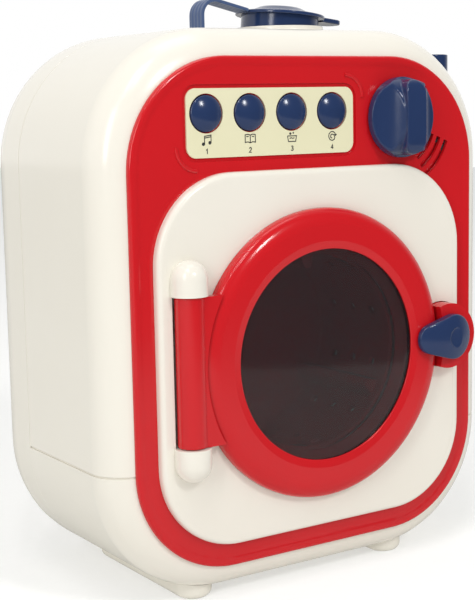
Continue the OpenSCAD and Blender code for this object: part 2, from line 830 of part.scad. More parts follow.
module button_3() {
    push_button(2);
}

module button_4() {
    push_button(3);
}

module keypad_membrane() {
    color("#8C8F94") upright() translate([0, 0, board_front]) {
        translate([(button_x(0) + button_x(3)) / 2, button_z, 0])
            linear_extrude(membrane_t) rounded_rect(3 * button_pitch + 14, 14, 3);
        for (i = [0:3])
            translate([button_x(i), button_z, membrane_t]) cylinder(r1 = 4, r2 = 3, h = membrane_dome_h);
    }
}

module circuit_board() {
    color("#2E7D4F") difference() {
        upright() translate([board_x - board_w / 2, button_z - board_h / 2, board_front - board_t])
            cube([board_w, board_h, board_t]);
        for (x = [-1, 1])
            bar(board_x + x * (board_w / 2 - 3), button_z, 1.3, board_front - 3, board_front + 1);
    }
    color("#26262A") upright()
        translate([board_x - 8, button_z - 6, board_front - board_t - 1.5]) cube([16, 12, 1.5]);
}

module board_screws() {
    color(steel) for (x = [-1, 1])
        screw_bar(board_x + x * (board_w / 2 - 3), button_z, board_front - board_t - 1.4, 6, 0.95, 2, 1.4);
}

// The knob: a thin disc with one tall grip across it, hollowed at both flanks
module programme_knob() {
    half = knob_grip_w / 2;
    top = knob_back + knob_grip_h;
    rim = knob_back + knob_disc_t;
    color(blue) union() {
        intersection() {
            bar(knob_x, knob_z, knob_r, knob_back, top + 1);
            upright() translate([knob_x, knob_z, top - knob_crown_r]) rotate([0, 90, 0])
                cylinder(r = knob_crown_r, h = 2 * knob_r + 2, center = true);
            upright() translate([knob_x, knob_z, 0]) rotate([90, 0, 0])
                linear_extrude(2 * knob_r + 2, center = true)
                polygon(concat(
                    [[-knob_r - 1, knob_back], [knob_r + 1, knob_back]],
                    [[knob_r + 1, rim - 1.2], [knob_r - 0.6, rim]],
                    [for (i = [1:6]) flank(i / 7, rim, top)],
                    arc(half - 2.4, top - 2.4, 2.4, 0, 90, edge_steps),
                    arc(2.4 - half, top - 2.4, 2.4, 90, 180, edge_steps),
                    [for (i = [6:-1:1]) let (p = flank(i / 7, rim, top)) [-p[0], p[1]]],
                    [[0.6 - knob_r, rim], [-knob_r - 1, rim - 1.2]]
                ));
        }
        bar(knob_x, knob_z, knob_shaft_r, seat_out - 8, knob_back + 1);
    }
}

// A point on the knob's hollow flank, from its rim to the foot of the grip
function flank(t, rim, top) = [
    knob_r - 0.6 - (knob_r - 0.6 - knob_grip_w / 2) * t,
    rim + (top - 2.4 - rim) * pow(t, 3)
];

module selector_switch() {
    color("#3A3D42") difference() {
        union() {
            tube(knob_x, knob_z, 9, knob_shaft_r + running_gap, seat_out - 10, seat_out - fit_gap / 3);
            bar(knob_x, knob_z, 6, seat_out - 11.5, seat_out - 9);
        }
        bar(knob_x, knob_z, knob_shaft_r + running_gap, seat_out - 8 - fit_gap, seat_out);
    }
    color(steel) for (i = [-1:1])
        upright() translate([knob_x + 3 * i - 0.4, knob_z - 6.5, seat_out - 12.5]) cube([0.8, 2, 3]);
}

module speaker_basket() {
    color(steel) {
        difference() {
            turned(speaker_x, speaker_z) polygon([
                [speaker_r, seat_out], [speaker_r, seat_out - 1.2], [6, seat_out - speaker_d + 3],
                [6, seat_out - speaker_d], [0, seat_out - speaker_d], [0, seat_out - speaker_d + 4],
                [5, seat_out - speaker_d + 4], [speaker_r - 1.6, seat_out - 1.4],
                [speaker_r - 1.6, seat_out]
            ]);
            for (i = [0:3])
                upright() translate([speaker_x, speaker_z, 0]) rotate([0, 0, 45 + 90 * i])
                translate([speaker_r - 3.5, 0, seat_out - 6]) cylinder(r = 1.2, h = 8);
        }
        tube(speaker_x, speaker_z, 8, 6, seat_out - speaker_d - 1, seat_out - speaker_d + 2.5);
    }
}

module speaker_cone() {
    color("#4A4A4C") turned(speaker_x, speaker_z) polygon([
        [speaker_r - 1.8, seat_out - 0.4], [speaker_r - 1.8, seat_out - 0.9], [4, seat_out - 3.6],
        [0, seat_out - 3.6], [0, seat_out - 2.8], [3.6, seat_out - 2.8], [speaker_r - 3, seat_out - 0.4]
    ]);
}

module ring_section() {
    back = window_front;
    seat = window_r + 2.6;
    polygon(concat(
        [[window_r, back], [window_r, back + 2], [window_r + 1.8, back + 3.2]],
        [[window_r + 4.4, crest_out - 0.8], [ring_r - 7, crest_out]],
        arc(ring_r - 4, crest_out - 4, 4, 90, 0, 8),
        [[ring_r, ring_back], [ring_r - 2, ring_back]],
        arc(ring_r - 4, crest_out - 4, 2, 0, 90, 4),
        [[seat + 4, crest_out - 2.6], [seat + 2, back + 0.6], [seat + 2, ring_back]],
        [[seat, ring_back], [seat, back]]
    ));
}

module door_ring() {
    color(red) difference() {
        union() {
            turned(0, door_z) ring_section();
            translate([-hinge_x, -hinge_h, hinge_z0]) cylinder(r = barrel_r, h = barrel_len);
            difference() {
                translate([-hinge_x, 1 - hinge_h - hinge_out, hinge_z0])
                    mirror([0, 1, 0]) cube([hinge_x - ring_r + 16, 3.6, barrel_len]);
                bar(0, door_z, ring_r - 1, ring_back - 2, crest_out + 2);
            }
        }
        translate([-hinge_x, -hinge_h, hinge_z0 - 1])
            cylinder(r = hinge_pin_r + running_gap, h = barrel_len + 2);
    }
}

module door_window() {
    color("#2E2628", 0.55) turned(0, door_z) polygon(concat(
        [[0, window_back], [window_r + 2.4, window_back], [window_r + 2.4, window_front]],
        [[window_r - 1, window_front], [window_r - 4, window_front + 0.5], [0, window_front + 1.2]]
    ));
}

module door_retainer() {
    color(red) turned(0, door_z) polygon([
        [window_r + 2.4, window_back], [window_r + 2.4, ring_back - 3.8],
        [drum_mouth_r + 1.2, ring_back - 3.8], [drum_mouth_r + 1.2, ring_back - 3],
        [window_r, window_back]
    ]);
}

module hinge_pin() {
    color(steel) translate([-hinge_x, -hinge_h, hinge_z0 - ear_len + ear_r + 0.5])
        cylinder(r = hinge_pin_r, h = barrel_len + 2 * (ear_len - ear_r) - 1);
}

module door_seal() {
    color("#5C5E63") turned(0, door_z) polygon([
        [tub_mouth_r + 0.3, flange_front], [tub_mouth_r + 3.6, flange_front],
        [tub_mouth_r + 3, ring_back - 3.8 - fit_gap], [tub_mouth_r + 1, ring_back - 3.8 - fit_gap]
    ]);
}

// Outline of the latch: a round end tapering to a blunt nose
function latch_outline() =
    let (d = latch_reach - latch_tip_r, a = acos((latch_r - latch_tip_r) / d))
    concat(
        arc(0, 0, latch_r, a - 180, 180 - a, 28),
        arc(-d, 0, latch_tip_r, 180 - a, 180 + a, 12)
    );

module door_latch() {
    color(blue) difference() {
        union() {
            intersection() {
                upright() translate([latch_x, latch_z, latch_back])
                    linear_extrude(latch_t) polygon(latch_outline());
                upright() translate([latch_x - latch_reach / 4, latch_z, latch_front - latch_crown_r])
                    sphere(r = latch_crown_r);
            }
            bar(latch_x, latch_z, latch_shaft_r, boss_floor - fit_gap, latch_back + 1);
        }
        upright() translate([latch_x, latch_z, latch_front + latch_dimple_r - 1.4])
            sphere(r = latch_dimple_r);
        bar(latch_x, latch_z, latch_screw_r + 0.01, boss_floor - 1, latch_back);
    }
}

module latch_washer() {
    back = boss_floor - fit_gap - 1.2;
    color(steel) {
        bar(latch_x, latch_z, latch_washer_r, back, boss_floor - fit_gap);
        bar(latch_x, latch_z, 2.2, back - 1.4, back + 0.2);
        bar(latch_x, latch_z, latch_screw_r, back, latch_back - 1);
    }
}

module drum() {
    r = drum_r - drum_wall;
    color(red) difference() {
        union() {
            turned(0, door_z) polygon([
                [drum_mouth_r, drum_collar_front - 0.4], [drum_mouth_r + 0.5, drum_collar_front],
                [drum_mouth_r + 1.6, drum_collar_front], [drum_mouth_r + 2, drum_collar_front - 0.5],
                [drum_mouth_r + 2, drum_front], [drum_r - 1.5, drum_front], [drum_r, drum_front - 1.5],
                [drum_r, drum_back + 1.5], [drum_r - 1.5, drum_back], [drum_hub_r, drum_back],
                [drum_hub_r, drum_back - drum_hub_len], [0, drum_back - drum_hub_len],
                [0, drum_back + 6], [drum_hub_r, drum_back + 6], [drum_hub_r + 2, drum_back + drum_wall],
                [r - 1, drum_back + drum_wall], [r, drum_back + drum_wall + 1],
                [r, drum_front - drum_wall], [drum_mouth_r, drum_front - drum_wall]
            ]);
            for (i = [0:lifters - 1])
                upright() translate([0, door_z, 0]) rotate([0, 0, 90 + 360 / lifters * i])
                translate([r + 0.5 - lifter_h, 0, drum_back + drum_wall - 0.5])
                linear_extrude(drum_d - 2 * drum_wall + 1)
                polygon([[0, -1.2], [0.8, -2], [lifter_h, -5], [lifter_h, 5], [0.8, 2], [0, 1.2]]);
        }
        upright() translate([0, door_z, 0])
            for (i = [0:drum_holes - 1], j = [0:drum_rows - 1])
                rotate([0, 0, 360 / drum_holes * (i + 0.5)])
                translate([r - 3, 0, drum_back + drum_d * (j + 1) / (drum_rows + 1)])
                rotate([0, 90, 0]) cylinder(r = drum_hole_r, h = 6);
        bar(0, door_z, drum_shaft_r + 0.01, drum_back - drum_hub_len - 1, drum_back + 4);
    }
}

module drum_shaft() {
    color(steel) bar(0, door_z, drum_shaft_r, box_floor_front - box_floor_t, drum_back + 4);
}

// Place of a screw that holds the tub's flange to the front panel
function tub_screw(i) = [
    tub_screw_r * cos(45 + 90 * i),
    door_z + tub_screw_r * sin(45 + 90 * i)
];

function box_screw(i) = [
    box_x + (i < 2 ? 1 : -1) * (box_w / 2 - 4),
    box_z + ((i == 0 || i == 3) ? 1 : -1) * (box_h / 2 - 4)
];

module tub() {
    r = tub_r - tub_wall;
    color("#E6E3DA") difference() {
        union() {
            turned(0, door_z) polygon([
                [tub_mouth_r, flange_front], [tub_flange_r, flange_front], [tub_flange_r, tub_front],
                [tub_r, tub_front], [tub_r, tub_back], [0, tub_back],
                [0, tub_floor_front], [r, tub_floor_front], [r, tub_front], [tub_mouth_r, tub_front]
            ]);
            upright() translate([box_x, box_z, tub_back]) linear_extrude(tub_floor_t)
                rounded_rect(box_w, box_h, box_corner_r);
            bar(0, door_z, 7, plate_front + 0.2, tub_back + 0.5);
            for (i = [0:3])
                bar(box_screw(i)[0], box_screw(i)[1], 3.4, plate_front, tub_back + 0.5);
            translate([filler_x, -filler_front, door_z + tub_spout_top - 12]) cylinder(r = spout_r, h = 12);
            translate([duct_x, -outlet_front, door_z - tub_r - 4]) cylinder(r = spout_r, h = 8);
        }
        bar(0, door_z, tub_r - tub_wall, tub_floor_front, tub_front);
        bar(0, door_z, 4, plate_front, tub_floor_front + 1);
        for (i = [0:3]) {
            bar(box_screw(i)[0], box_screw(i)[1], box_screw_r, plate_front - 1, tub_floor_front - 0.5);
            bar(tub_screw(i)[0], tub_screw(i)[1], screw_r + running_gap, tub_front - 1, flange_front + 1);
        }
        translate([filler_x, -filler_front, door_z + tub_spout_top - 20])
            cylinder(r = spout_bore_r, h = 30);
        translate([duct_x, -outlet_front, door_z - tub_r - 5]) cylinder(r = duct_bore_r, h = 16);
    }
}

module tub_screws() {
    color(steel) for (i = [0:3]) {
        bar(tub_screw(i)[0], tub_screw(i)[1], tub_screw_head_r, tub_front - 1.4, tub_front);
        bar(tub_screw(i)[0], tub_screw(i)[1], screw_r, tub_front - 0.5, flange_front + 1.8);
    }
}

module shaft_bush() {
    color("#C9A24A")
        tube(0, door_z, 3.98, drum_shaft_r + running_gap, plate_front + 0.4, tub_floor_front);
}

module shaft_seal() {
    color("#3B3B3D")
        tube(0, door_z, 6, drum_shaft_r + running_gap, tub_floor_front, tub_floor_front + 1.4);
}

// A spur gear with straight-flanked teeth; turn is in tooth pitches
module spur_gear(teeth, width, turn) {
    pitch = gear_module * teeth / 2;
    root = pitch - 1.15 * gear_module;
    tip = pitch + 0.75 * gear_module;
    linear_extrude(width) rotate([0, 0, 360 / teeth * turn]) union() {
        circle(r = root);
        for (i = [0:teeth - 1])
            rotate([0, 0, 360 / teeth * i])
            polygon([
                [root - 0.3, -0.92 * gear_module], [root + 0.1, -0.92 * gear_module],
                [tip, -0.34 * gear_module], [tip, 0.34 * gear_module],
                [root + 0.1, 0.92 * gear_module], [root - 0.3, 0.92 * gear_module]
            ]);
    }
}

module drum_gear() {
    color("#E8E2CC") difference() {
        union() {
            upright() translate([0, door_z, gear_a_front - gear_width])
                rotate([0, 0, idler_angle]) spur_gear(drum_teeth, gear_width, 0);
            bar(0, door_z, 4.5, gear_a_front - gear_width - 2, gear_a_front + 0.6);
        }
        bar(0, door_z, drum_shaft_r + 0.01, gear_a_front - gear_width - 3, gear_a_front + 2);
    }
}

module idler_gear() {
    color("#E8E2CC") difference() {
        union() {
            upright() translate([idler_x, idler_z, gear_a_front - gear_width])
                rotate([0, 0, idler_angle + 180]) spur_gear(idler_small_teeth, gear_width, 0.5);
            upright() translate([idler_x, idler_z, gear_b_front - gear_width])
                rotate([0, 0, motor_angle]) spur_gear(idler_large_teeth, gear_width, 0);
            bar(idler_x, idler_z, 3, gear_b_front - 0.5, gear_a_front - gear_width + 0.5);
        }
        bar(idler_x, idler_z, axle_r + running_gap, box_floor_front, plate_front);
    }
}

module idler_axle() {
    color(steel) bar(idler_x, idler_z, axle_r, box_back, plate_front - 0.4);
}

module motor_pinion() {
    color("#C9A24A") difference() {
        upright() translate([motor_x, motor_z, gear_b_front - gear_width])
            rotate([0, 0, motor_angle + 180]) spur_gear(pinion_teeth, gear_width, 0.5);
        bar(motor_x, motor_z, motor_shaft_r + 0.01, box_floor_front, gear_a_front);
    }
}

module motor_can() {
    color(steel) difference() {
        upright() translate([motor_x, motor_z, motor_front - motor_len])
            linear_extrude(motor_len) motor_outline(0);
        bar(motor_x, motor_z, motor_flats / 2 - 0.8, motor_front - motor_len + 1.5, motor_front - 1);
        bar(motor_x, motor_z, motor_shaft_r + running_gap, motor_front - 3, motor_front + 1);
    }
}

module motor_rotor() {
    color("#A9643B") {
        bar(motor_x, motor_z, motor_shaft_r, motor_front - motor_len + 1.8, gear_b_front);
        bar(motor_x, motor_z, motor_flats / 2 - 2, motor_front - motor_len + 6, motor_front - 5);
    }
}

module gearbox_plate() {
    color("#E8E2CC") difference() {
        upright() translate([box_x, box_z, plate_front - plate_t]) linear_extrude(plate_t)
            rounded_rect(box_w, box_h, box_corner_r);
        bar(0, door_z, drum_shaft_r + 0.4, plate_front - plate_t - 1, plate_front + 1);
        bar(idler_x, idler_z, axle_r + 0.01, plate_front - plate_t - 1, plate_front + 1);
        for (i = [0:3])
            bar(box_screw(i)[0], box_screw(i)[1], box_screw_r + 0.2, plate_front - 5, plate_front + 1);
    }
}

// The motor can's outline, grown by a clearance
module motor_outline(gap) {
    intersection() {
        circle(r = motor_r + gap);
        square([2 * motor_r + 4, motor_flats + 2 * gap], center = true);
    }
}

module gearbox_housing() {
    rim = plate_front - plate_t;
    color("#E8E2CC") difference() {
        union() {
            upright() translate([box_x, box_z, box_back]) linear_extrude(rim - box_back)
                rounded_rect(box_w, box_h, box_corner_r);
            bar(motor_x, motor_z, motor_r + 2, box_back - motor_socket, box_back + 0.5);
        }
        upright() translate([motor_x, motor_z, box_back - motor_socket - 1])
            linear_extrude(motor_socket + 1) motor_outline(0.1);
        difference() {
            upright() translate([box_x, box_z, box_floor_front]) linear_extrude(rim - box_floor_front + 1)
                rounded_rect(box_w - 4, box_h - 4, box_corner_r - 2);
            for (i = [0:3]) bar(box_screw(i)[0], box_screw(i)[1], 3.4, box_back, rim);
        }
        for (i = [0:3])
            bar(box_screw(i)[0], box_screw(i)[1], box_screw_r + 0.2, box_back - 1, rim + 1);
        bar(0, door_z, drum_shaft_r + running_gap, box_back - 1, box_floor_front + 1);
        bar(idler_x, idler_z, axle_r + 0.01, box_back - 1, box_floor_front + 1);
        bar(motor_x, motor_z, 3, box_back - 1, box_floor_front + 1);
    }
}

module gearbox_screws() {
    color(steel) for (i = [0:3])
        screw_bar(box_screw(i)[0], box_screw(i)[1], box_back - 1.6,
            tub_back - box_back + 1.2, box_screw_r - 0.05, 2.4, 1.6);
}

module battery_box() {
    w = battery_in_w + 2 * battery_wall;
    h = battery_in_h + 2 * battery_wall;
    grow = 2 * (battery_lip + battery_flange);
    color("#D9D4C8") upright() translate([0, battery_z, 0]) difference() {
        union() {
            translate([0, 0, battery_rim]) linear_extrude(battery_front - battery_rim)
                rounded_rect(w, h, 2);
            translate([0, 0, battery_rim]) linear_extrude(battery_wall)
                rounded_rect(battery_in_w + grow, battery_in_h + grow, 4);
            translate([0, battery_screw_z - battery_z, battery_rim]) cylinder(r = 2.6, h = 6);
        }
        translate([0, 0, battery_rim - 1]) linear_extrude(battery_in_d + 1)
            square([battery_in_w, battery_in_h], center = true);
        translate([0, battery_screw_z - battery_z, battery_rim - 1]) cylinder(r = 1.11, h = 6);
    }
}

module batteries() {
    color("#8A8D91") for (i = [0:cells - 1])
        translate([(i % 2 == 0 ? 1 : -1) * 0.4, -battery_rim - 0.4 - cell_r,
            battery_z + (i - (cells - 1) / 2) * cell_pitch])
        rotate([0, i % 2 == 0 ? 90 : -90, 0]) {
            cylinder(r = cell_r, h = cell_len - 1.5, center = true);
            cylinder(r = 2.6, h = cell_len / 2 + 0.4);
        }
}

module battery_contacts() {
    color(steel) for (side = [-1, 1], i = [0:cells - 1])
        translate([side * (battery_in_w / 2 - contact_t / 2 - 0.1), -battery_rim - 0.4 - cell_r,
            battery_z + (i - (cells - 1) / 2) * cell_pitch]) {
            cube([contact_t, 11, 11], center = true);
            rotate([0, -90 * side, 0]) cylinder(r1 = 3, r2 = 1.6, h = 1.5);
        }
}

module battery_cover() {
    w = battery_in_w + 2 * battery_lip - 2 * fit_gap;
    h = battery_in_h + 2 * battery_lip - 2 * fit_gap;
    color(cream) difference() {
        upright() translate([0, battery_z, rear_out]) {
            linear_extrude(battery_cover_t) rounded_rect(w, h, 2.7);
            for (i = [-2:2])
                translate([-6, i * 3.2 - h / 3 - 0.5, -0.5]) cube([12, 1, 1]);
        }
        bar(0, battery_screw_z, 2.6, rear_out - 1, rear_out + 1);
        bar(0, battery_screw_z, 1.3, rear_out - 1, rear_out + 5);
    }
}

module battery_cover_screw() {
    color(steel) {
        bar(0, battery_screw_z, 2.3, rear_out - 0.2, rear_out + 1);
        bar(0, battery_screw_z, 1.1, rear_out + 0.5, battery_rim + 4);
    }
}

// The collar round the filler with the cup that takes the cap's plug
module filler_neck() {
    collar_r = neck_r + collar_wall;
    color(cream) translate([filler_x, -filler_front, top_z]) rotate_extrude() polygon([
        [filler_r, -filler_cup_d - neck_floor_t], [neck_out_r, -filler_cup_d - neck_floor_t],
        [neck_out_r, 0], [collar_r + 0.8, 0], [collar_r + 0.8, 0.4], [collar_r + 0.2, 0.9],
        [collar_r, 1.5], [collar_r, filler_neck_h - 0.5], [collar_r - 0.4, filler_neck_h],
        [neck_r + 0.3, filler_neck_h], [neck_r, filler_neck_h - 0.3], [neck_r, -filler_cup_d],
        [filler_r, -filler_cup_d]
    ]);
}

// Where a point of the leaning cap lies, r to the right of its middle and h above the lid's underside
function cap_point(r, h) = [
    r * cos(cap_lean) + (cap_stem + h) * sin(cap_lean),
    cap_pivot - r * sin(cap_lean) + (cap_stem + h) * cos(cap_lean)
];

// The strap's course in the plane of the cap: up from its root, over an arch and down to the lid
function strap_line(d) =
    let (edge = cap_point(-cap_r, cap_lid_t))
    concat(
        [[d, 0]],
        arc(strap_bend_r, strap_h - strap_bend_r, strap_bend_r - d, 180, 74, 8),
        [[strap_reach + edge[0] - 0.1, edge[1] + 0.3 - d]]
    );

// A plug with a stepped lid, leaning over to its tab as it sits in the cup
module filler_cap() {
    color(blue) translate([filler_x, -filler_front, top_z + cap_pivot]) rotate([0, cap_lean, 0])
    translate([0, 0, cap_stem]) {
        rotate_extrude() polygon([
            [cap_plug_r - cap_plug_wall, -cap_plug_len], [cap_plug_r - 0.4, -cap_plug_len],
            [cap_plug_r, 0.4 - cap_plug_len], [cap_plug_r, 0], [cap_r - 0.3, 0], [cap_r, 0.3],
            [cap_r, cap_lid_t - 0.3], [cap_r - 0.4, cap_lid_t],
            [cap_disc_r + 0.7, cap_h - 1.2 - cap_step], [cap_disc_r, cap_h - 1],
            [cap_disc_r - 0.5, cap_h - 0.7], [cap_disc_r / 2, cap_h - 0.15], [0, cap_h],
            [0, cap_h - 2], [cap_disc_r - 1, cap_h - 2.6], [cap_plug_r - cap_plug_wall, -0.4]
        ]);
        difference() {
            hull() {
                translate([cap_r - 4, 0, 0]) cylinder(r = 8, h = cap_lid_t, $fn = 32);
                translate([cap_r + tab_len - 5, 0, 0]) cylinder(r = 5, h = cap_lid_t, $fn = 32);
            }
            translate([0, 0, -2]) cylinder(r = cap_plug_r - cap_plug_wall / 2, h = 6);
        }
    }
}

// The strap with the barbed foot that snaps into the casing
module cap_strap() {
    outer = strap_line(0);
    inner = strap_line(strap_t);
    color("#4C62A0") translate([strap_x, -filler_front, top_z]) {
        rotate([90, 0, 0]) linear_extrude(strap_w, center = true)
            polygon(concat(outer, [for (i = [len(inner) - 1:-1:0]) inner[i]]));
        translate([0, -strap_w / 2, -wall - 1]) cube([strap_t, strap_w, wall + 2]);
        translate([strap_t / 2 - 2.6, -strap_w / 2, -wall - 2.6]) cube([5.2, strap_w, 2.4]);
    }
}

// A cone that leads from below the cup into the tub's spout
module filler_funnel() {
    foot = door_z + tub_spout_top + fit_gap;
    color("#E6E3DA") translate([filler_x, -filler_front, 0]) rotate_extrude() polygon([
        [filler_r + 3, funnel_top], [filler_r + 3, funnel_top - 2], [spout_r, funnel_top - 20],
        [spout_r, foot], [spout_bore_r, foot], [spout_bore_r, funnel_top - 21],
        [filler_r + 1, funnel_top - 2.6], [filler_r + 1, funnel_top]
    ]);
}

// Elbow from the tub's lowest point to the outlet spigot
module drain_duct() {
    top = door_z - tub_r - 4.2;
    reach = body_w / 2 - 14.4;
    color("#E6E3DA") translate([0, -outlet_front, 0]) difference() {
        union() {
            translate([duct_x, 0, outlet_z]) cylinder(r = duct_r, h = top - outlet_z);
            translate([duct_x, 0, outlet_z]) sphere(r = duct_r);
            translate([duct_x, 0, outlet_z]) rotate([0, 90, 0]) cylinder(r = duct_r, h = reach - duct_x);
        }
        translate([duct_x, 0, outlet_z]) cylinder(r = duct_bore_r, h = 40);
        translate([duct_x, 0, outlet_z]) sphere(r = duct_bore_r);
        translate([duct_x, 0, outlet_z]) rotate([0, 90, 0]) cylinder(r = duct_bore_r, h = reach);
    }
}

module outlet_spigot() {
    color(cream) translate([0, -outlet_front, outlet_z]) rotate([0, 90, 0]) difference() {
        translate([0, 0, body_w / 2 - 14.2]) cylinder(r = spigot_r, h = hub_back + 9 - body_w / 2 + 14.2);
        translate([0, 0, 0]) cylinder(r = spigot_bore_r, h = hub_back + 20);
    }
}

module spigot_seal() {
    color("#3B3B3D") translate([hub_back + 0.3, -outlet_front, outlet_z]) rotate([0, 90, 0])
        rotate_extrude() translate([spigot_r + 0.1, 0]) square([1.3, 1.8]);
}

module drain_pipe() {
    color(blue) translate([0, -outlet_front, outlet_z]) difference() {
        union() {
            translate([hub_back, 0, 0]) rotate([0, 90, 0]) cylinder(r = hub_r, h = hub_len);
            translate([pipe_x, 0, 0]) cylinder(r = pipe_r, h = pipe_top - outlet_z);
            translate([pipe_x, 0, pipe_top - outlet_z - 4]) cylinder(r = pipe_r + 0.8, h = 4);
        }
        translate([pipe_x, 0, 0]) cylinder(r = pipe_bore_r, h = pipe_top);
        translate([hub_back - 1, 0, 0]) rotate([0, 90, 0])
            cylinder(r = spigot_r + running_gap, h = hub_len - 1);
        translate([hub_back - 1, 0, 0]) rotate([0, 90, 0]) cylinder(r = spigot_r + 1.5, h = 3.4);
    }
}

module cover_screws() {
    color(steel) for (p = cover_posts)
        screw_bar(p[0], p[1], cover_post_front - cover_post_floor - screw_head_t, screw_len,
            screw_r, screw_head_r, screw_head_t);
}

upper_casing();
base_casing();
rear_cover();
left_foot_rail();
right_foot_rail();
front_frame();
front_panel();
label_plate();
button_1();
button_2();
button_3();
button_4();
keypad_membrane();
circuit_board();
board_screws();
programme_knob();
selector_switch();
speaker_basket();
speaker_cone();
door_ring();
door_window();
door_retainer();
hinge_pin();
door_seal();
door_latch();
latch_washer();
drum();
drum_shaft();
tub();
tub_screws();
shaft_bush();
shaft_seal();
drum_gear();
idler_gear();
idler_axle();
motor_pinion();
motor_can();
motor_rotor();
gearbox_plate();
gearbox_housing();
gearbox_screws();
battery_box();
batteries();
battery_contacts();
battery_cover();
battery_cover_screw();
filler_neck();
filler_cap();
cap_strap();
filler_funnel();
drain_duct();
outlet_spigot();
spigot_seal();
drain_pipe();
cover_screws();
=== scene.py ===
"""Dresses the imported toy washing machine: its moulded shells, door, controls, filler and stage."""

import json
import math

import bpy
from mathutils import Matrix, Vector

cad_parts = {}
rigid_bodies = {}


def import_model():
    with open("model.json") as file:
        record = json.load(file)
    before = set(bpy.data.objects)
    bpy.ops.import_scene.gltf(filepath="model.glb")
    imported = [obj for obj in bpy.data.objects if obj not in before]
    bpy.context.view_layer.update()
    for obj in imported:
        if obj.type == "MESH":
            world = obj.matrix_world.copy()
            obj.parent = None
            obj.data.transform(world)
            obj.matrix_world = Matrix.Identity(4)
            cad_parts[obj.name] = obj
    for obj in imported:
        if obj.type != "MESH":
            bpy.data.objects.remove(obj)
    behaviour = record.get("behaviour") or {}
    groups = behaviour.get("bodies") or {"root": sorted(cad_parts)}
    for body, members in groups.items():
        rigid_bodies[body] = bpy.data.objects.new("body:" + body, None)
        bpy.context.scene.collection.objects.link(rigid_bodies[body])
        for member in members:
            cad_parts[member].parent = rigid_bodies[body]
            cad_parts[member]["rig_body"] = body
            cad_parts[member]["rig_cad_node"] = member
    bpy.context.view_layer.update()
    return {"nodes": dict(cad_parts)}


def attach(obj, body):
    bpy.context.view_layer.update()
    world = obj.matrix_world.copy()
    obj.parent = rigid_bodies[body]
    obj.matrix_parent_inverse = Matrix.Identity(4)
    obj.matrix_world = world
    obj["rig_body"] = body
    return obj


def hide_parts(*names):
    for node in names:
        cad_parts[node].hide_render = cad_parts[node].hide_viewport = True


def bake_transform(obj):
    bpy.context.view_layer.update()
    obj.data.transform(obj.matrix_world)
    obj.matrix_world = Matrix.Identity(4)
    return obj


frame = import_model()

bl_info = {
    "name": "Toy washing machine",
    "version": (1, 0, 0),
    "blender": (4, 5, 0),
    "location": "View3D > Sidebar > Washer",
    "description": "Builds the visible pieces of a toy front-loading washer round its CAD frame",
    "category": "Object",
}

MM = 0.001
OUT = Vector((0, -1, 0))
UP = Vector((0, 0, 1))
RIGHT = Vector((1, 0, 0))

# The washer's own sizes in millimetres, as its construction has them. Names that end in OUT
# are distances in front of the middle of the depth, and pairs are a place as (X, Z).
TOP_Z = 250.2
CORNER_R = 58.5
CORNER_X = 46.5
LOW_Z = 63.9
HIGH_Z = 191.7
SEAM = 0.8
COVER_OUT = -19.0
ROLL_OUT = 41.92
SEAT_OUT = 57.5
FIELD_OUT = 59.2
PANEL_OUT = 63.3
DOOR_Z = 107.4
DOOR_BACK_OUT = 63.7
LENS_OUT = 69.1
CREST_OUT = 70.6
HINGE_X = -69.0
HINGE_OUT = 65.5
BARREL_LOW_Z = 75.6
BARREL_LEN = 63.6
LATCH = (70.0, 108.4)
LATCH_OUT = 70.8
LABEL = (-21.1, 210.0)
BUTTONS = (-54.8, -33.0, -11.2, 10.6)
BUTTON_Z = 214.0
KNOB = (48.5, 210.4)
# The filler's place as (X, distance in front), its cap's lean, and the strap's own places
FILLER = (17.5, 10.0)
CAP_LEAN = 5.0
STRAP_X = -28.5
STRAP_W = 11.0
STRAP_T = 1.5
# The drain pipe's foot, and where its hub meets the side
PIPE_FOOT = (114.4, -7.0, 43.0)
HUB_X = 106.8
# How far the table reaches in front of the washer, for the edge that the window mirrors
TABLE_FRONT = 577.0

# Strokes of the printed pictures and numbers, in millimetres from their own middles
PICTURES = (
    ((("o", -1.7, -1.6, 0.75),), (("o", 1.5, -1.1, 0.75),),
     ((-1.1, -1.6), (-1.1, 1.6), (2.1, 2.1), (2.1, -1.1)), ((-1.1, 0.9), (2.1, 1.4))),
    (((0, -1.7), (0, 1.5), (-1.2, 1.9), (-2.6, 1.7), (-2.6, -1.5), (-1.2, -1.3), (0, -1.7), (1.2, -1.3),
      (2.6, -1.5), (2.6, 1.7), (1.2, 1.9), (0, 1.5)), ((-2, 0.9), (-0.8, 1.0)), ((0.8, 1.0), (2, 0.9))),
    (((-2.4, 0.6), (-1.9, -1.8), (1.9, -1.8), (2.4, 0.6), (-2.4, 0.6)), (("o", -0.9, 1.6, 0.55),),
     (("o", 0.7, 1.9, 0.4),), ((-1.3, -0.5), (-0.4, -0.2), (0.4, -0.5), (1.3, -0.2))),
    (((1.9, 0.2), (1.6, 1.2), (0.6, 1.9), (-0.7, 1.8), (-1.7, 0.9), (-1.9, -0.4), (-1.2, -1.6), (0, -2.0),
      (1.1, -1.6), (1.5, -0.6), (1.0, 0.4), (0, 0.8), (-0.8, 0.3), (-0.8, -0.6), (0, -1.0)),
     ((1.3, 0.7), (1.9, 0.1), (2.5, 0.8))),
)
NUMBERS = (
    (((-0.4, 0.5), (0.15, 1.0), (0.15, -1.0)),),
    (((-0.55, 0.5), (-0.3, 0.9), (0.2, 1.0), (0.5, 0.6), (0.4, 0.1), (-0.6, -1.0), (0.6, -1.0)),),
    (((-0.5, 0.8), (0, 1.0), (0.45, 0.75), (0.4, 0.25), (0, 0.05), (0.5, -0.2), (0.5, -0.7), (0, -1.0),
      (-0.55, -0.75)),),
    (((0.25, -1.0), (0.25, 1.0), (-0.6, -0.4), (0.65, -0.4)),),
)


# Drawing and finishing


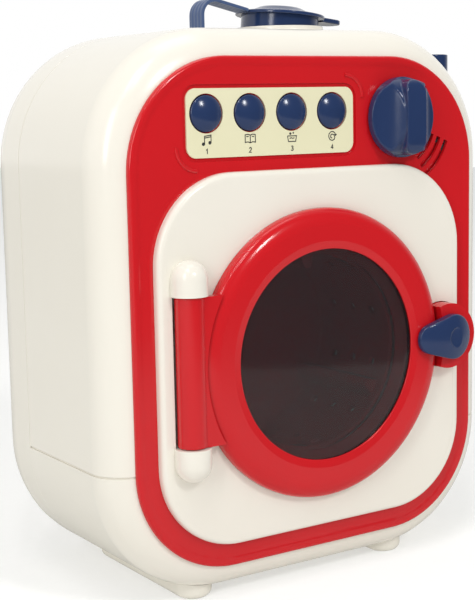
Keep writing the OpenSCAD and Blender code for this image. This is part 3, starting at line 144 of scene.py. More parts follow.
def linear(code):
    """Turns an sRGB hex value into the linear colour that the shaders take."""
    values = [int(code[i:i + 2], 16) / 255 for i in (1, 3, 5)]
    return tuple(v / 12.92 if v <= 0.04045 else ((v + 0.055) / 1.055) ** 2.4 for v in values) + (1,)


def arc(cx, cy, r, start, end, steps):
    """Points along an arc, its angles in degrees."""
    angles = [math.radians(start + (end - start) * i / steps) for i in range(steps + 1)]
    return [(cx + r * math.cos(a), cy + r * math.sin(a)) for a in angles]


def eased(corners, closed=True, steps=5):
    """Rounds each corner (x, y, radius) of an outline."""
    points = []
    for i, (x, y, radius) in enumerate(corners):
        here = Vector((x, y))
        if radius == 0 or (not closed and i in (0, len(corners) - 1)):
            points.append((x, y))
            continue
        back = (Vector(corners[i - 1][:2]) - here).normalized()
        ahead = (Vector(corners[(i + 1) % len(corners)][:2]) - here).normalized()
        half = back.angle(ahead) / 2
        centre = here + (back + ahead).normalized() * (radius / math.sin(half))
        first = here + back * (radius / math.tan(half)) - centre
        last = here + ahead * (radius / math.tan(half)) - centre
        a = math.atan2(first.y, first.x)
        turn = (math.atan2(last.y, last.x) - a + math.pi) % (2 * math.pi) - math.pi
        for k in range(steps + 1):
            t = a + turn * k / steps
            points.append((centre.x + radius * math.cos(t), centre.y + radius * math.sin(t)))
    return points


def drawn(name, points, closed=True):
    """Starts a piece as one vertex and extrudes it along the points of its outline."""
    bpy.ops.object.select_all(action="DESELECT")
    bpy.ops.mesh.primitive_plane_add(size=MM, location=(0, 0, 0))
    piece = bpy.context.object
    piece.name = piece.data.name = name
    points = [Vector(p) * MM for p in points]
    bpy.ops.object.mode_set(mode="EDIT")
    bpy.ops.mesh.merge(type="CENTER")
    bpy.ops.transform.translate(value=points[0])
    for a, b in zip(points, points[1:] + (points[:1] if closed else [])):
        bpy.ops.mesh.extrude_vertices_move(TRANSFORM_OT_translate={"value": b - a})
    bpy.ops.mesh.select_all(action="SELECT")
    bpy.ops.mesh.remove_doubles(threshold=2e-6)
    return piece


def closed_up():
    """Merges what meets, fills open ends and turns every face outwards."""
    bpy.ops.mesh.select_all(action="SELECT")
    bpy.ops.mesh.remove_doubles(threshold=2e-6)
    bpy.ops.mesh.select_all(action="DESELECT")
    bpy.ops.mesh.select_non_manifold()
    bpy.ops.mesh.fill_holes(sides=0)
    bpy.ops.mesh.select_all(action="SELECT")
    bpy.ops.mesh.normals_make_consistent(inside=False)
    bpy.ops.object.mode_set(mode="OBJECT")


def turned(name, section, centre, axis, side=RIGHT, steps=96):
    """Spins a section of (radius, height along the axis) about the axis through centre."""
    centre, closed = Vector(centre), all(r > 0 for r, h in section)
    points = [centre + side * r + axis * h for r, h in section]
    piece = drawn(name, points, closed)
    bpy.ops.mesh.spin(steps=steps, angle=2 * math.pi, center=centre * MM, axis=axis)
    closed_up()
    return piece


def swept(name, section, start, outward, path, steps=20):
    """Carries a closed section of (distance out, depth in front) along straights and quarter turns."""
    here, out = Vector((start[0], 0, start[1])), Vector((outward[0], 0, outward[1]))
    piece = drawn(name, [here + out * u + OUT * d for u, d in section])
    for length in path:
        ahead = Vector((-out.z, 0, out.x))
        if length is None:
            bpy.ops.mesh.spin(steps=steps, angle=math.pi / 2, center=here * MM, axis=(0, 1, 0))
            out = ahead
        else:
            bpy.ops.mesh.extrude_region_move(TRANSFORM_OT_translate={"value": ahead * length * MM})
            here += ahead * length
    closed_up()
    return piece


def prism(name, outline, base, across, along, way, height):
    """Extrudes a flat outline of (across, along) points from base by a height."""
    base = Vector(base)
    piece = drawn(name, [base + across * u + along * v for u, v in outline])
    bpy.ops.mesh.edge_face_add()
    bpy.ops.mesh.extrude_region_move(TRANSFORM_OT_translate={"value": way * height * MM})
    closed_up()
    return piece


def chosen(piece):
    """Makes a piece the only one selected, in object mode."""
    bpy.ops.object.select_all(action="DESELECT")
    piece.select_set(True)
    bpy.context.view_layer.objects.active = piece


def modified(piece, kind, **settings):
    """Adds a modifier with its settings and applies it."""
    chosen(piece)
    bpy.ops.object.modifier_add(type=kind)
    modifier = piece.modifiers[-1]
    for key, value in settings.items():
        setattr(modifier, key, value)
    bpy.ops.object.modifier_apply(modifier=modifier.name)


def cut(piece, tool, operation="DIFFERENCE"):
    """Cuts a piece with another, or joins them, and removes the tool."""
    modified(piece, "BOOLEAN", object=tool, operation=operation, solver="EXACT")
    bpy.data.objects.remove(tool, do_unlink=True)


def joined(piece, *others):
    """Joins loose shells into one piece."""
    chosen(piece)
    for other in others:
        other.select_set(True)
    bpy.ops.object.join()
    return piece


def softened(piece, width, angle=35, segments=2):
    """Rounds the edges sharper than an angle, as a mould leaves them."""
    modified(piece, "BEVEL", width=width * MM, segments=segments, limit_method="ANGLE",
             angle_limit=math.radians(angle), use_clamp_overlap=True)


def remoulded(piece, grain, passes):
    """Remeshes a piece finely and eases its edges evenly, as a soft-edged moulding."""
    modified(piece, "REMESH", mode="VOXEL", voxel_size=grain * MM)
    modified(piece, "SMOOTH", factor=0.5, iterations=passes)


def corner_bead(centre, side):
    """A low round bead that turns a quarter about a corner of the label."""
    centre = Vector(centre)
    points = [centre + side * u + OUT * v for u, v in arc(9.8, FIELD_OUT - 0.1, 0.9, -20, 200, 10)]
    bead = drawn("corner_bead", points)
    bpy.ops.mesh.spin(steps=24, angle=math.pi / 2, center=centre * MM, axis=(0, 1, 0))
    closed_up()
    return bead


def inked(name, strokes, x, z, width=0.42):
    """Prints strokes as thin raised ink: lines between points, or a dot given by centre and radius."""
    parts = []
    for stroke in strokes:
        if stroke[0][0] == "o":
            u, v, r = stroke[0][1:]
            outline = arc(u, v, r, 0, 345, 23)
        else:
            outline = ribbon([Vector(p) for p in stroke], width)
        parts.append(prism(name, outline, (x, 0.02 - FIELD_OUT, z), RIGHT, UP, OUT, 0.06))
    return joined(*parts) if len(parts) > 1 else parts[0]


def ribbon(points, width):
    """The outline of a line of some width through the points."""
    left, right = [], []
    for i, p in enumerate(points):
        before = (p - points[i - 1]).normalized() if i else None
        after = (points[i + 1] - p).normalized() if i + 1 < len(points) else None
        way = ((before or after) + (after or before)).normalized()
        normal = Vector((-way.y, way.x))
        stretch = width / 2 / max(0.5, normal.dot(Vector((-(after or before).y, (after or before).x))))
        left.append(p + normal * stretch)
        right.append(p - normal * stretch)
    return [tuple(p) for p in left + right[::-1]]


def finished(piece, body, material, nodes=(), angle=32):
    """Smooths a piece, gives it its material and puts it on its body in place of CAD nodes."""
    chosen(piece)
    bpy.ops.object.shade_smooth_by_angle(angle=math.radians(angle))
    modified(piece, "WEIGHTED_NORMAL", keep_sharp=True, weight=60)
    piece.data.materials.clear()
    piece.data.materials.append(material)
    if body:
        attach(piece, body)
    if nodes:
        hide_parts(*nodes)
    return piece


def dressed(node, slot, material, edge=0.25, angle=35, grooves=()):
    """Copies a CAD node, cleans its mesh, softens its edges and lets the copy stand for it."""
    source = frame["nodes"][node]
    body = source["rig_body"]
    chosen(source)
    bpy.ops.object.duplicate()
    piece = bpy.context.object
    ending = "_moulding" if "moulding" in slot or "shell" in slot else "_part"
    piece.name = piece.data.name = node + ending
    piece.parent = None
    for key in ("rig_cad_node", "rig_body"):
        del piece[key]
    bpy.ops.object.mode_set(mode="EDIT")
    bpy.ops.mesh.select_all(action="SELECT")
    bpy.ops.mesh.remove_doubles(threshold=2e-6)
    bpy.ops.mesh.dissolve_limited(angle_limit=math.radians(0.5))
    bpy.ops.object.mode_set(mode="OBJECT")
    for groove in grooves:
        cut(piece, groove)
    if edge:
        softened(piece, edge, angle)
    return finished(piece, body, material, (node,))


# Materials


def put(tree, kind, settings=None, links=None):
    """Adds one shader node with its settings, and links sockets into its inputs."""
    node = tree.nodes.new(kind)
    for key, value in (settings or {}).items():
        if isinstance(key, int) or key in node.inputs:
            node.inputs[key].default_value = value
        else:
            setattr(node, key, value)
    for key, socket in (links or {}).items():
        tree.links.new(socket, node.inputs[key])
    return node


def surface(name, low, high, rough, grain, depth, shader=None, cloud=35.0, ribs=0):
    """A moulded, turned or printed surface: two close colours in soft clouds, with a fine grain.

    rough is the range of roughness, grain the size of the surface's ripple and depth its
    height, and cloud the size of the colour's clouds, all in millimetres. Where ribs is set,
    fine ribs run across Y at that pitch.
    """
    material = bpy.data.materials.new(name)
    material.use_nodes = True
    tree = material.node_tree
    tree.nodes.clear()
    place = put(tree, "ShaderNodeTexCoord").outputs["Object"]
    clouds = put(tree, "ShaderNodeTexNoise", {"Scale": 1 / (cloud * MM), "Detail": 3.0},
                 {"Vector": place})
    colour = put(tree, "ShaderNodeMix", {"data_type": "RGBA", 6: low, 7: high},
                 {0: clouds.outputs["Fac"]})
    ripple = put(tree, "ShaderNodeTexNoise", {"Scale": 1 / (grain * MM), "Detail": 2.0},
                 {"Vector": place})
    gloss = put(tree, "ShaderNodeMapRange", {"To Min": rough[0], "To Max": rough[1]},
                {"Value": clouds.outputs["Fac"]})
    bump = put(tree, "ShaderNodeBump", {"Strength": 1.0, "Distance": depth * MM},
               {"Height": ripple.outputs["Fac"]})
    if ribs:
        wave = put(tree, "ShaderNodeTexWave", {"bands_direction": "Y", "Scale": math.pi / 10 / (ribs * MM)},
                   {"Vector": place})
        bump = put(tree, "ShaderNodeBump", {"Strength": 1.0, "Distance": 0.25 * MM},
                   {"Height": wave.outputs["Fac"], "Normal": bump.outputs["Normal"]})
    coat = put(tree, "ShaderNodeBsdfPrincipled", shader or {},
               {"Base Color": colour.outputs[2], "Roughness": gloss.outputs["Result"],
                "Normal": bump.outputs["Normal"]})
    put(tree, "ShaderNodeOutputMaterial", None, {"Surface": coat.outputs["BSDF"]})
    return material


def make_materials(colours):
    """The washer's finishes, by the record's slot names."""
    made = {}
    # Injection-moulded ABS from a polished mould: clean soft reflections and a faint ripple
    abs_gloss = {"IOR": 1.54, "Specular IOR Level": 0.5}
    made["cream_shell"] = surface("cream_abs", colours["cream"], colours["cream_shade"],
                                  (0.16, 0.24), 4.0, 0.012, abs_gloss, 60.0)
    made["red_moulding"] = surface("red_abs", colours["red"], colours["red_shade"],
                                   (0.14, 0.22), 3.5, 0.012, abs_gloss, 45.0)
    made["blue_moulding"] = surface("navy_abs", colours["navy"], colours["navy_shade"],
                                    (0.14, 0.22), 3.0, 0.012, abs_gloss, 25.0)
    # Soft polyethylene that flexes: a waxy, broken sheen
    made["blue_strap"] = surface("strap_polyethylene", colours["strap"], linear("#41557C"),
                                 (0.34, 0.46), 1.6, 0.02, {"IOR": 1.51}, ribs=2.75)
    # Printed film with a satin laminate
    made["label"] = surface("printed_film", colours["label"], linear("#E4E0BA"),
                            (0.32, 0.42), 1.2, 0.006, {"IOR": 1.49})
    made["ink"] = surface("screen_ink", linear("#3A3B3E"), linear("#2C2D30"),
                          (0.38, 0.5), 0.8, 0.004, {"IOR": 1.5})
    # Smoked polycarbonate: dark, with a hard clear gloss and what is behind it barely showing
    made["smoked_window"] = surface("smoked_polycarbonate", linear("#998C90"), linear("#93858A"),
                                    (0.05, 0.09), 9.0, 0.004,
                                    {"IOR": 1.45, "Transmission Weight": 0.97}, 30.0)
    # Natural polypropylene and acetal: milky, half matt
    made["tub_plastic"] = surface("natural_polypropylene", linear("#DAD7CC"), linear("#CFCBBE"),
                                  (0.38, 0.5), 1.5, 0.02, {"IOR": 1.49})
    made["gear_plastic"] = surface("natural_acetal", linear("#E2DCC6"), linear("#D6CFB6"),
                                   (0.3, 0.42), 1.2, 0.012, {"IOR": 1.48})
    made["black_rubber"] = surface("black_nitrile", linear("#1D1D1F"), linear("#28282A"),
                                   (0.55, 0.7), 0.6, 0.02, {"IOR": 1.52})
    made["grey_rubber"] = surface("grey_silicone", linear("#A4A2A4"), linear("#98969A"),
                                  (0.5, 0.62), 0.7, 0.02, {"IOR": 1.41})
    # Zinc-plated steel: bright, with a brushed break in the highlights
    made["steel"] = surface("zinc_plated_steel", linear("#B4B6B8"), linear("#A3A5A8"),
                            (0.24, 0.36), 0.5, 0.01, {"Metallic": 1.0}, 6.0)
    made["motor_steel"] = surface("nickel_plated_can", linear("#A6A7A9"), linear("#95979A"),
                                  (0.2, 0.34), 0.6, 0.01, {"Metallic": 1.0}, 8.0)
    made["brass"] = surface("turned_brass", linear("#C8A456"), linear("#B8924A"),
                            (0.22, 0.34), 0.4, 0.01, {"Metallic": 1.0}, 5.0)
    made["copper_winding"] = surface("enamelled_copper", linear("#A5613B"), linear("#8E4F2E"),
                                     (0.28, 0.4), 0.4, 0.06, {"Metallic": 1.0}, 3.0)
    made["board"] = surface("green_glass_epoxy", linear("#2C6F45"), linear("#245D3A"),
                            (0.3, 0.42), 0.7, 0.015, {"IOR": 1.55}, 9.0)
    made["switch_plastic"] = surface("black_nylon", linear("#34363A"), linear("#2B2D31"),
                                     (0.4, 0.52), 0.8, 0.015, {"IOR": 1.53})
    made["cone_paper"] = surface("pressed_fibre", linear("#3A3A3C"), linear("#454547"),
                                 (0.75, 0.9), 0.5, 0.08, {"IOR": 1.45})
    made["battery_jacket"] = surface("sleeved_cell", linear("#73777D"), linear("#676B71"),
                                     (0.26, 0.36), 1.0, 0.006, {"IOR": 1.5})
    return made


MATERIALS = {}


# Sizes and colours that a user may change


class WasherSizes(bpy.types.PropertyGroup):
    """Sizes of the visible pieces."""

    ring_r: bpy.props.FloatProperty(
        name="Door ring radius", description="Outer radius of the red door ring",
        default=0.0648, unit="LENGTH")
    window_r: bpy.props.FloatProperty(
        name="Window radius", description="Radius of the smoked window inside the ring",
        default=0.0476, unit="LENGTH")
    button_r: bpy.props.FloatProperty(
        name="Button radius", description="Radius of a push button",
        default=0.0076, unit="LENGTH")
    button_dome: bpy.props.FloatProperty(
        name="Button dome", description="Rise of the dome on a push button",
        default=0.0022, unit="LENGTH")
    pipe_r: bpy.props.FloatProperty(
        name="Pipe radius", description="Outer radius of the drain pipe",
        default=0.0076, unit="LENGTH")


class WasherColours(bpy.types.PropertyGroup):
    """Colours of the moulded pieces."""

    cream: bpy.props.FloatVectorProperty(
        name="Cream", description="Casing, panel and feet", subtype="COLOR", size=4,
        default=linear("#F1EDE2"))
    cream_shade: bpy.props.FloatVectorProperty(
        name="Cream, deeper", description="The warmer clouds in the cream", subtype="COLOR", size=4,
        default=linear("#ECE7DA"))
    red: bpy.props.FloatVectorProperty(
        name="Red", description="Front frame, door and drum", subtype="COLOR", size=4,
        default=linear("#D01921"))
    red_shade: bpy.props.FloatVectorProperty(
        name="Red, deeper", description="The deeper clouds in the red", subtype="COLOR", size=4,
        default=linear("#C7151D"))
    navy: bpy.props.FloatVectorProperty(
        name="Navy", description="Buttons, knob, latch, cap and pipe", subtype="COLOR", size=4,
        default=linear("#263961"))
    navy_shade: bpy.props.FloatVectorProperty(
        name="Navy, deeper", description="The deeper clouds in the navy", subtype="COLOR", size=4,
        default=linear("#22345A"))
    strap: bpy.props.FloatVectorProperty(
        name="Strap blue", description="The soft strap of the cap", subtype="COLOR", size=4,
        default=linear("#4A5F88"))
    label: bpy.props.FloatVectorProperty(
        name="Label", description="The pale yellow label plate", subtype="COLOR", size=4,
        default=linear("#EAE6C4"))


def sizes():
    """The sizes as the scene holds them now."""
    return bpy.context.scene.washer_sizes


# Pieces


class WASHER_OT_casing(bpy.types.Operator):
    """Sweep the upper half of the cream casing round its corners, finish the lower half and close the seam
    between them
    """

    bl_idname = "washer.casing"
    bl_label = "Casing shells"

    def execute(self, context):
        middle = CORNER_R - 16
        roll = arc(middle, ROLL_OUT, 16, 77, 0, 14)
        inner = arc(middle, ROLL_OUT, 13.5, 0, 83, 12)
        rim = [(CORNER_R - 14.3, SEAT_OUT - 0.2), (CORNER_R - 14.1, SEAT_OUT), (CORNER_R - 12.6, SEAT_OUT)]
        back = [(CORNER_R, COVER_OUT + 0.3), (CORNER_R - 0.3, COVER_OUT), (CORNER_R - 2.5, COVER_OUT)]
        section = rim + roll + back + inner
        upright = HIGH_Z - LOW_Z - SEAM
        upper = swept("upper_casing_shell", section, (CORNER_X, LOW_Z + SEAM), (1, 0),
                      (upright, None, 2 * CORNER_X, None, upright))
        x, out = FILLER
        hole = turned("filler_hole", [(0, -9), (20.5, -9), (20.5, 9), (0, 9)], (x, -out, TOP_Z), UP)
        cut(upper, hole)
        slot = prism("strap_slot", [(-0.95, -5.7), (2.45, -5.7), (2.45, 5.7), (-0.95, 5.7)],
                     (STRAP_X, -out, TOP_Z - 6), RIGHT, -OUT, UP, 12)
        cut(upper, slot)
        softened(upper, 0.35, 50)
        finished(upper, "casing", MATERIALS["cream_shell"], ("upper_casing",))
        dressed("base_casing", "cream_shell", MATERIALS["cream_shell"], 0.35, 40)
        # Ledges just under the surface close the seam between the two halves
        outer = arc(middle, ROLL_OUT, 15.3, 83, 0, 14) + [(CORNER_R - 0.7, COVER_OUT)]
        lining = (outer + [(u - 0.9, d) for u, d in outer[:3:-1]]
                  + [(u - 0.54, d - 0.8) for u, d in outer[3::-1]])
        ledges = [prism("seam_ledge", [(side * (CORNER_X + u), d) for u, d in lining], (0, 0, LOW_Z - 0.3),
                        RIGHT, OUT, UP, SEAM + 0.2) for side in (-1, 1)]
        finished(joined(*ledges), "casing", MATERIALS["cream_shell"])
        return {"FINISHED"}


class WASHER_OT_rear(bpy.types.Operator):
    """Finish the rear cover, the battery hatch and the two foot rails"""

    bl_idname = "washer.rear"
    bl_label = "Rear cover, hatch and feet"

    def execute(self, context):
        for node in ("rear_cover", "battery_cover", "left_foot_rail", "right_foot_rail"):
            dressed(node, "cream_shell", MATERIALS["cream_shell"], 0.35, 40)
        return {"FINISHED"}


class WASHER_OT_front(bpy.types.Operator):
    """Finish the red front frame with its two corner beads, and the cream front panel"""

    bl_idname = "washer.front"
    bl_label = "Front frame and panel"

    def execute(self, context):
        w, h, r = 45.1, 16, 6.2
        groove = prism("label_groove", eased([(-w, -h, r), (w, -h, r), (w, h, r), (-w, h, r)], steps=8),
                       (LABEL[0], 0.85 - FIELD_OUT, LABEL[1]), RIGHT, UP, OUT, 4)
        gutter = swept("lip_gutter", eased([
            (44.3, 60.4, 0), (43.9, 59.9, 0.5), (42.1, 58.6, 1.2), (38.9, 59.25, 3), (38.9, 60.4, 0)]),
            (44.6, 65.4), (1, 0), (124.5, None, 89.2, None) * 2)
        boss = turned("boss", [(0, 57), (15.4, 57), (15.4, 62), (0, 62)], (LATCH[0], 0, LATCH[1]), OUT)
        cut(gutter, boss)

        def slots(name, wide, out, height):
            """A prism along each of the three sound slots, reaching wide to each side of its middle."""
            return [prism(name, arc(0, 0, r + wide, -59, -21, 16) + arc(0, 0, r - wide, -21, -59, 16),
                          (KNOB[0], -out, KNOB[1]), RIGHT, UP, OUT, height) for r in (21.8, 26.45, 31.1)]

        grooves = (groove, gutter, *slots("slot_mouth", 1.2, 56.4, 4))
        frame_part = dressed("front_frame", "red_moulding", MATERIALS["red_moulding"], 0.35, 50, grooves)
        added = slots("slot_floor", 1.6, 55.8, 0.9)
        for way in (-1, 1):
            added.append(corner_bead((LABEL[0] + way * 38.9, 0, LABEL[1] + way * 9.8), RIGHT * way))
        for piece in added:
            finished(piece, None, MATERIALS["red_moulding"])
        joined(frame_part, *added)
        panel = dressed("front_panel", "cream_shell", MATERIALS["cream_shell"], 0.4, 40)
        r, face, foot = 38.5, PANEL_OUT + 0.02, FIELD_OUT - 0.2
        edge = swept("panel_edge", [(r, foot)] + arc(r - 2.4, face - 2.4, 2.4, 0, 90, 6)
                     + [(r - 4, face), (r - 4, foot)], (43.8, 66.4), (1, 0), (84.5, None, 87.6, None) * 2)
        joined(panel, finished(edge, None, MATERIALS["cream_shell"]))
        return {"FINISHED"}


class WASHER_OT_door(bpy.types.Operator):
    """Spin the rounded door ring with its hinge barrel and its window, and finish what is behind"""

    bl_idname = "washer.door"
    bl_label = "Door"

    def execute(self, context):
        ring_r, window_r = sizes().ring_r / MM, sizes().window_r / MM
        crest = ring_r - 7.6
        shoulder = [(crest + (ring_r - crest) * math.cos(t), CREST_OUT - 5 + 5 * math.sin(t))
                    for t in (math.radians(6 * i) for i in range(16))]
        slope = eased([(crest, CREST_OUT, 0), (window_r + 3, CREST_OUT - 0.2, 4),
                       (window_r - 0.6, CREST_OUT - 0.8, 0.4), (window_r - 0.6, LENS_OUT, 0)],
                      closed=False, steps=9)
        seat = [(window_r + 2.6, LENS_OUT), (window_r + 2.6, DOOR_BACK_OUT),
                (window_r + 4.6, DOOR_BACK_OUT), (window_r + 4.6, CREST_OUT - 3.8),
                (window_r + 6.6, CREST_OUT - 2.6)]
        back = [(ring_r - 4, CREST_OUT - 2), (ring_r - 2, CREST_OUT - 5), (ring_r - 2, DOOR_BACK_OUT),
                (ring_r, DOOR_BACK_OUT)]
        ring = turned("door_ring_moulding", shoulder + slope[1:] + seat + back, (0, 0, DOOR_Z), OUT,
                      steps=144)
        near, far = CREST_OUT - 0.3, CREST_OUT - 3.9
        web = prism("web", [(HINGE_X, far), (HINGE_X, near), (-48.2, near), (-48.2, far)],
                    (0, 0, BARREL_LOW_Z), RIGHT, OUT, UP, BARREL_LEN)
        hole = turned("ring_hole", [(0, 60), (ring_r - 1, 60), (ring_r - 1, 75), (0, 75)],
                      (0, 0, DOOR_Z), OUT, steps=144)
        cut(web, hole)
        hinge = (HINGE_X, -HINGE_OUT, BARREL_LOW_Z)
        barrel = turned("barrel", eased([
            (0, 0, 0), (6.4, 0, 0.6), (6.4, BARREL_LEN, 0.6), (0, BARREL_LEN, 0)], closed=False),
            hinge, UP, steps=64)
        cut(barrel, web, "UNION")
        cut(ring, barrel, "UNION")
        bore = turned("bore", [(0, -1.6), (1.55, -1.6), (1.55, BARREL_LEN + 1.8), (0, BARREL_LEN + 1.8)],
                      hinge, UP, steps=32)
        cut(ring, bore)
        softened(ring, 0.3, 50)
        finished(ring, "door", MATERIALS["red_moulding"], ("door_ring",), 40)
        dressed("door_retainer", "red_moulding", MATERIALS["red_moulding"], 0.15)
        dressed("hinge_pin", "steel", MATERIALS["steel"], 0.2)
        dressed("door_seal", "grey_rubber", MATERIALS["grey_rubber"], 0.15)
        window = turned("door_window_lens", eased([
            (0, LENS_OUT - 1.9, 0), (window_r + 0.6, LENS_OUT - 1.9, 0.4),
            (window_r + 0.6, DOOR_BACK_OUT + 0.5, 0), (window_r + 2.4, DOOR_BACK_OUT + 0.5, 0),
            (window_r + 2.4, LENS_OUT - 0.1, 0.2), (window_r - 1, LENS_OUT - 0.1, 0.3),
            (window_r - 4, LENS_OUT + 0.2, 2), (0, LENS_OUT + 1.1, 0)],
            closed=False), (0, 0, DOOR_Z), OUT, steps=144)
        finished(window, "door", MATERIALS["smoked_window"], ("door_window",))
        return {"FINISHED"}


class WASHER_OT_latch(bpy.types.Operator):
    """Mould the egg-shaped latch with its round dimple, and finish the washer behind it"""

    bl_idname = "washer.latch"
    bl_label = "Latch"

    def execute(self, context):
        x, z = LATCH
        reach, big, small = 13.3, 10.6, 7.0
        lean = math.degrees(math.acos((big - small) / reach))
        outline = (arc(0, 0, big, lean - 180, 180 - lean, 36)
                   + arc(-reach, 0, small, 180 - lean, 180 + lean, 24))
        latch = prism("door_latch_moulding", outline, (x, -LATCH_OUT, z), RIGHT, UP, OUT, 6.6)
        crown = turned("crown", arc(0, 44.95, 32, -90, 90, 60), (x - 4.9, 0, z), OUT)
        cut(latch, crown, "INTERSECT")
        remoulded(latch, 0.3, 26)
        dimple = turned("dimple", eased([
            (0, 75.9, 0), (4.6, 76.0, 1.4), (6.0, 77.6, 0), (6.0, 79, 0), (0, 79, 0)], closed=False),
            (x, 0, z), OUT, steps=48)
        cut(latch, dimple)
        stem = turned("stem", [(1, 62.9), (3, 62.9), (3, 72), (1, 72)], (x, 0, z), OUT, steps=40)
        bore = turned("stem_bore", [(0, 60), (1.01, 60), (1.01, 71), (0, 71)], (x, 0, z), OUT, steps=32)
        cut(latch, stem, "UNION")
        cut(latch, bore)
        finished(latch, "latch", MATERIALS["blue_moulding"], ("door_latch",), 50)
        dressed("latch_washer", "steel", MATERIALS["steel"], 0.15)
        return {"FINISHED"}


class WASHER_OT_label(bpy.types.Operator):
    """Make the label plate and print a picture and a number below each button"""

    bl_idname = "washer.label"
    bl_label = "Label plate"

    def execute(self, context):
        holes = [turned("button_hole", [(0, 57), (8.25, 57), (8.25, 61), (0, 61)], (x, 0, BUTTON_Z), OUT,
                        steps=64) for x in BUTTONS]
        dressed("label_plate", "label", MATERIALS["label"], 0.2, 35, (joined(*holes),))
        ink = [inked(f"{name}_{i + 1}", strokes[i], x, z)
               for i, x in enumerate(BUTTONS)
               for name, strokes, z in (("picture", PICTURES, 203.0), ("number", NUMBERS, 198.3))]
        marks = joined(*ink)
        marks.name = marks.data.name = "label_marks"
        finished(marks, "casing", MATERIALS["ink"])
        return {"FINISHED"}


class WASHER_OT_buttons(bpy.types.Operator):
    """Spin the four domed push buttons with the flanges that keep them in"""

    bl_idname = "washer.buttons"
    bl_label = "Push buttons"

    def execute(self, context):
        r, dome = sizes().button_r / MM, sizes().button_dome / MM
        curve = (r * r + dome * dome) / (2 * dome)
        reach = math.degrees(math.asin((r - 0.5) / curve))
        crown = arc(0, 61.6 - curve, curve, 90, 90 - reach, 14)
        edge = eased([(r - 0.5, crown[-1][1], 0), (r, crown[-1][1] - 0.45, 0.4), (r, 57.2, 0.2),
                      (9, 57.2, 0.3), (9, 55.4, 0.3), (r, 55.4, 0), (r, 53, 0.4), (0, 53, 0)], closed=False)
        for i, x in enumerate(BUTTONS):
            button = turned(f"button_{i + 1}_moulding", crown + edge[1:], (x, 0, BUTTON_Z), OUT, steps=72)
            finished(button, f"button_{i + 1}_key", MATERIALS["blue_moulding"],
                     (f"button_{i + 1}",), 50)
        return {"FINISHED"}


class WASHER_OT_knob(bpy.types.Operator):
    """Mould the programme knob: a disc whose flanks sweep up into one tall grip"""

    bl_idname = "washer.knob"
    bl_label = "Programme knob"

    def execute(self, context):
        x, z = KNOB
        # Depths in front of the back, rim and top, the disc's radius, and the grip's half width and length
        back, rim, top, r, half, reach = 59.6, 63.2, 72.6, 18.2, 5.6, 16.9

        def hump(width, rise, power):
            """A rounded hump across (u, v), from its right foot over to its left."""
            return [(width * math.copysign(abs(math.cos(t)) ** power, math.cos(t)),
                     back + (rise - back) * math.sin(t) ** power)
                    for t in (math.pi * i / 60 for i in range(1, 60))]

        flank = [(r + 1 - (r + 1 - half) * t, rim + 8.7 * t ** 2.6) for t in (i / 24 for i in range(25))]
        knob = prism("programme_knob_moulding", [(-r - 1, back), (r + 1, back)] + flank
                     + [(-u, v) for u, v in reversed(flank)], (x, 0, z - r - 1), RIGHT, OUT, UP, 2 * r + 2)
        disc = turned("disc", [(0, back), (r, back), (r, top + 1), (0, top + 1)], (x, 0, z), OUT, steps=144)
        cut(knob, disc, "INTERSECT")
        slope = prism("slope", [(r, back - 1)] + hump(r, 71.6, 1.0) + [(-r, back - 1)], (x - r - 2, 0, z),
                      UP, OUT, RIGHT, 2 * r + 4)
        base = turned("base", [(0, back), (r, back), (r, rim), (0, rim)], (x, 0, z), OUT, steps=144)
        cut(knob, slope, "INTERSECT")
        cut(knob, base, "UNION")
        plan = arc(0, reach - half, half, 0, 180, 24) + arc(0, half - reach, half, 180, 360, 24)
        grip = prism("grip", plan, (x, -back, z), RIGHT, UP, OUT, top - back + 1)
        crown = prism("crown", [(r, back - 1)] + hump(r, top + 0.3, 0.45) + [(-r, back - 1)],
                      (x - r, 0, z), UP, OUT, RIGHT, 2 * r)
        cut(grip, crown, "INTERSECT")
        cut(knob, grip, "UNION")
        remoulded(knob, 0.35, 12)
        shaft = turned("shaft", [(0, 49.5), (3, 49.5), (3, back + 1), (0, back + 1)], (x, 0, z), OUT, steps=40)
        cut(knob, shaft, "UNION")
        finished(knob, "knob", MATERIALS["blue_moulding"], ("programme_knob",), 60)
        return {"FINISHED"}


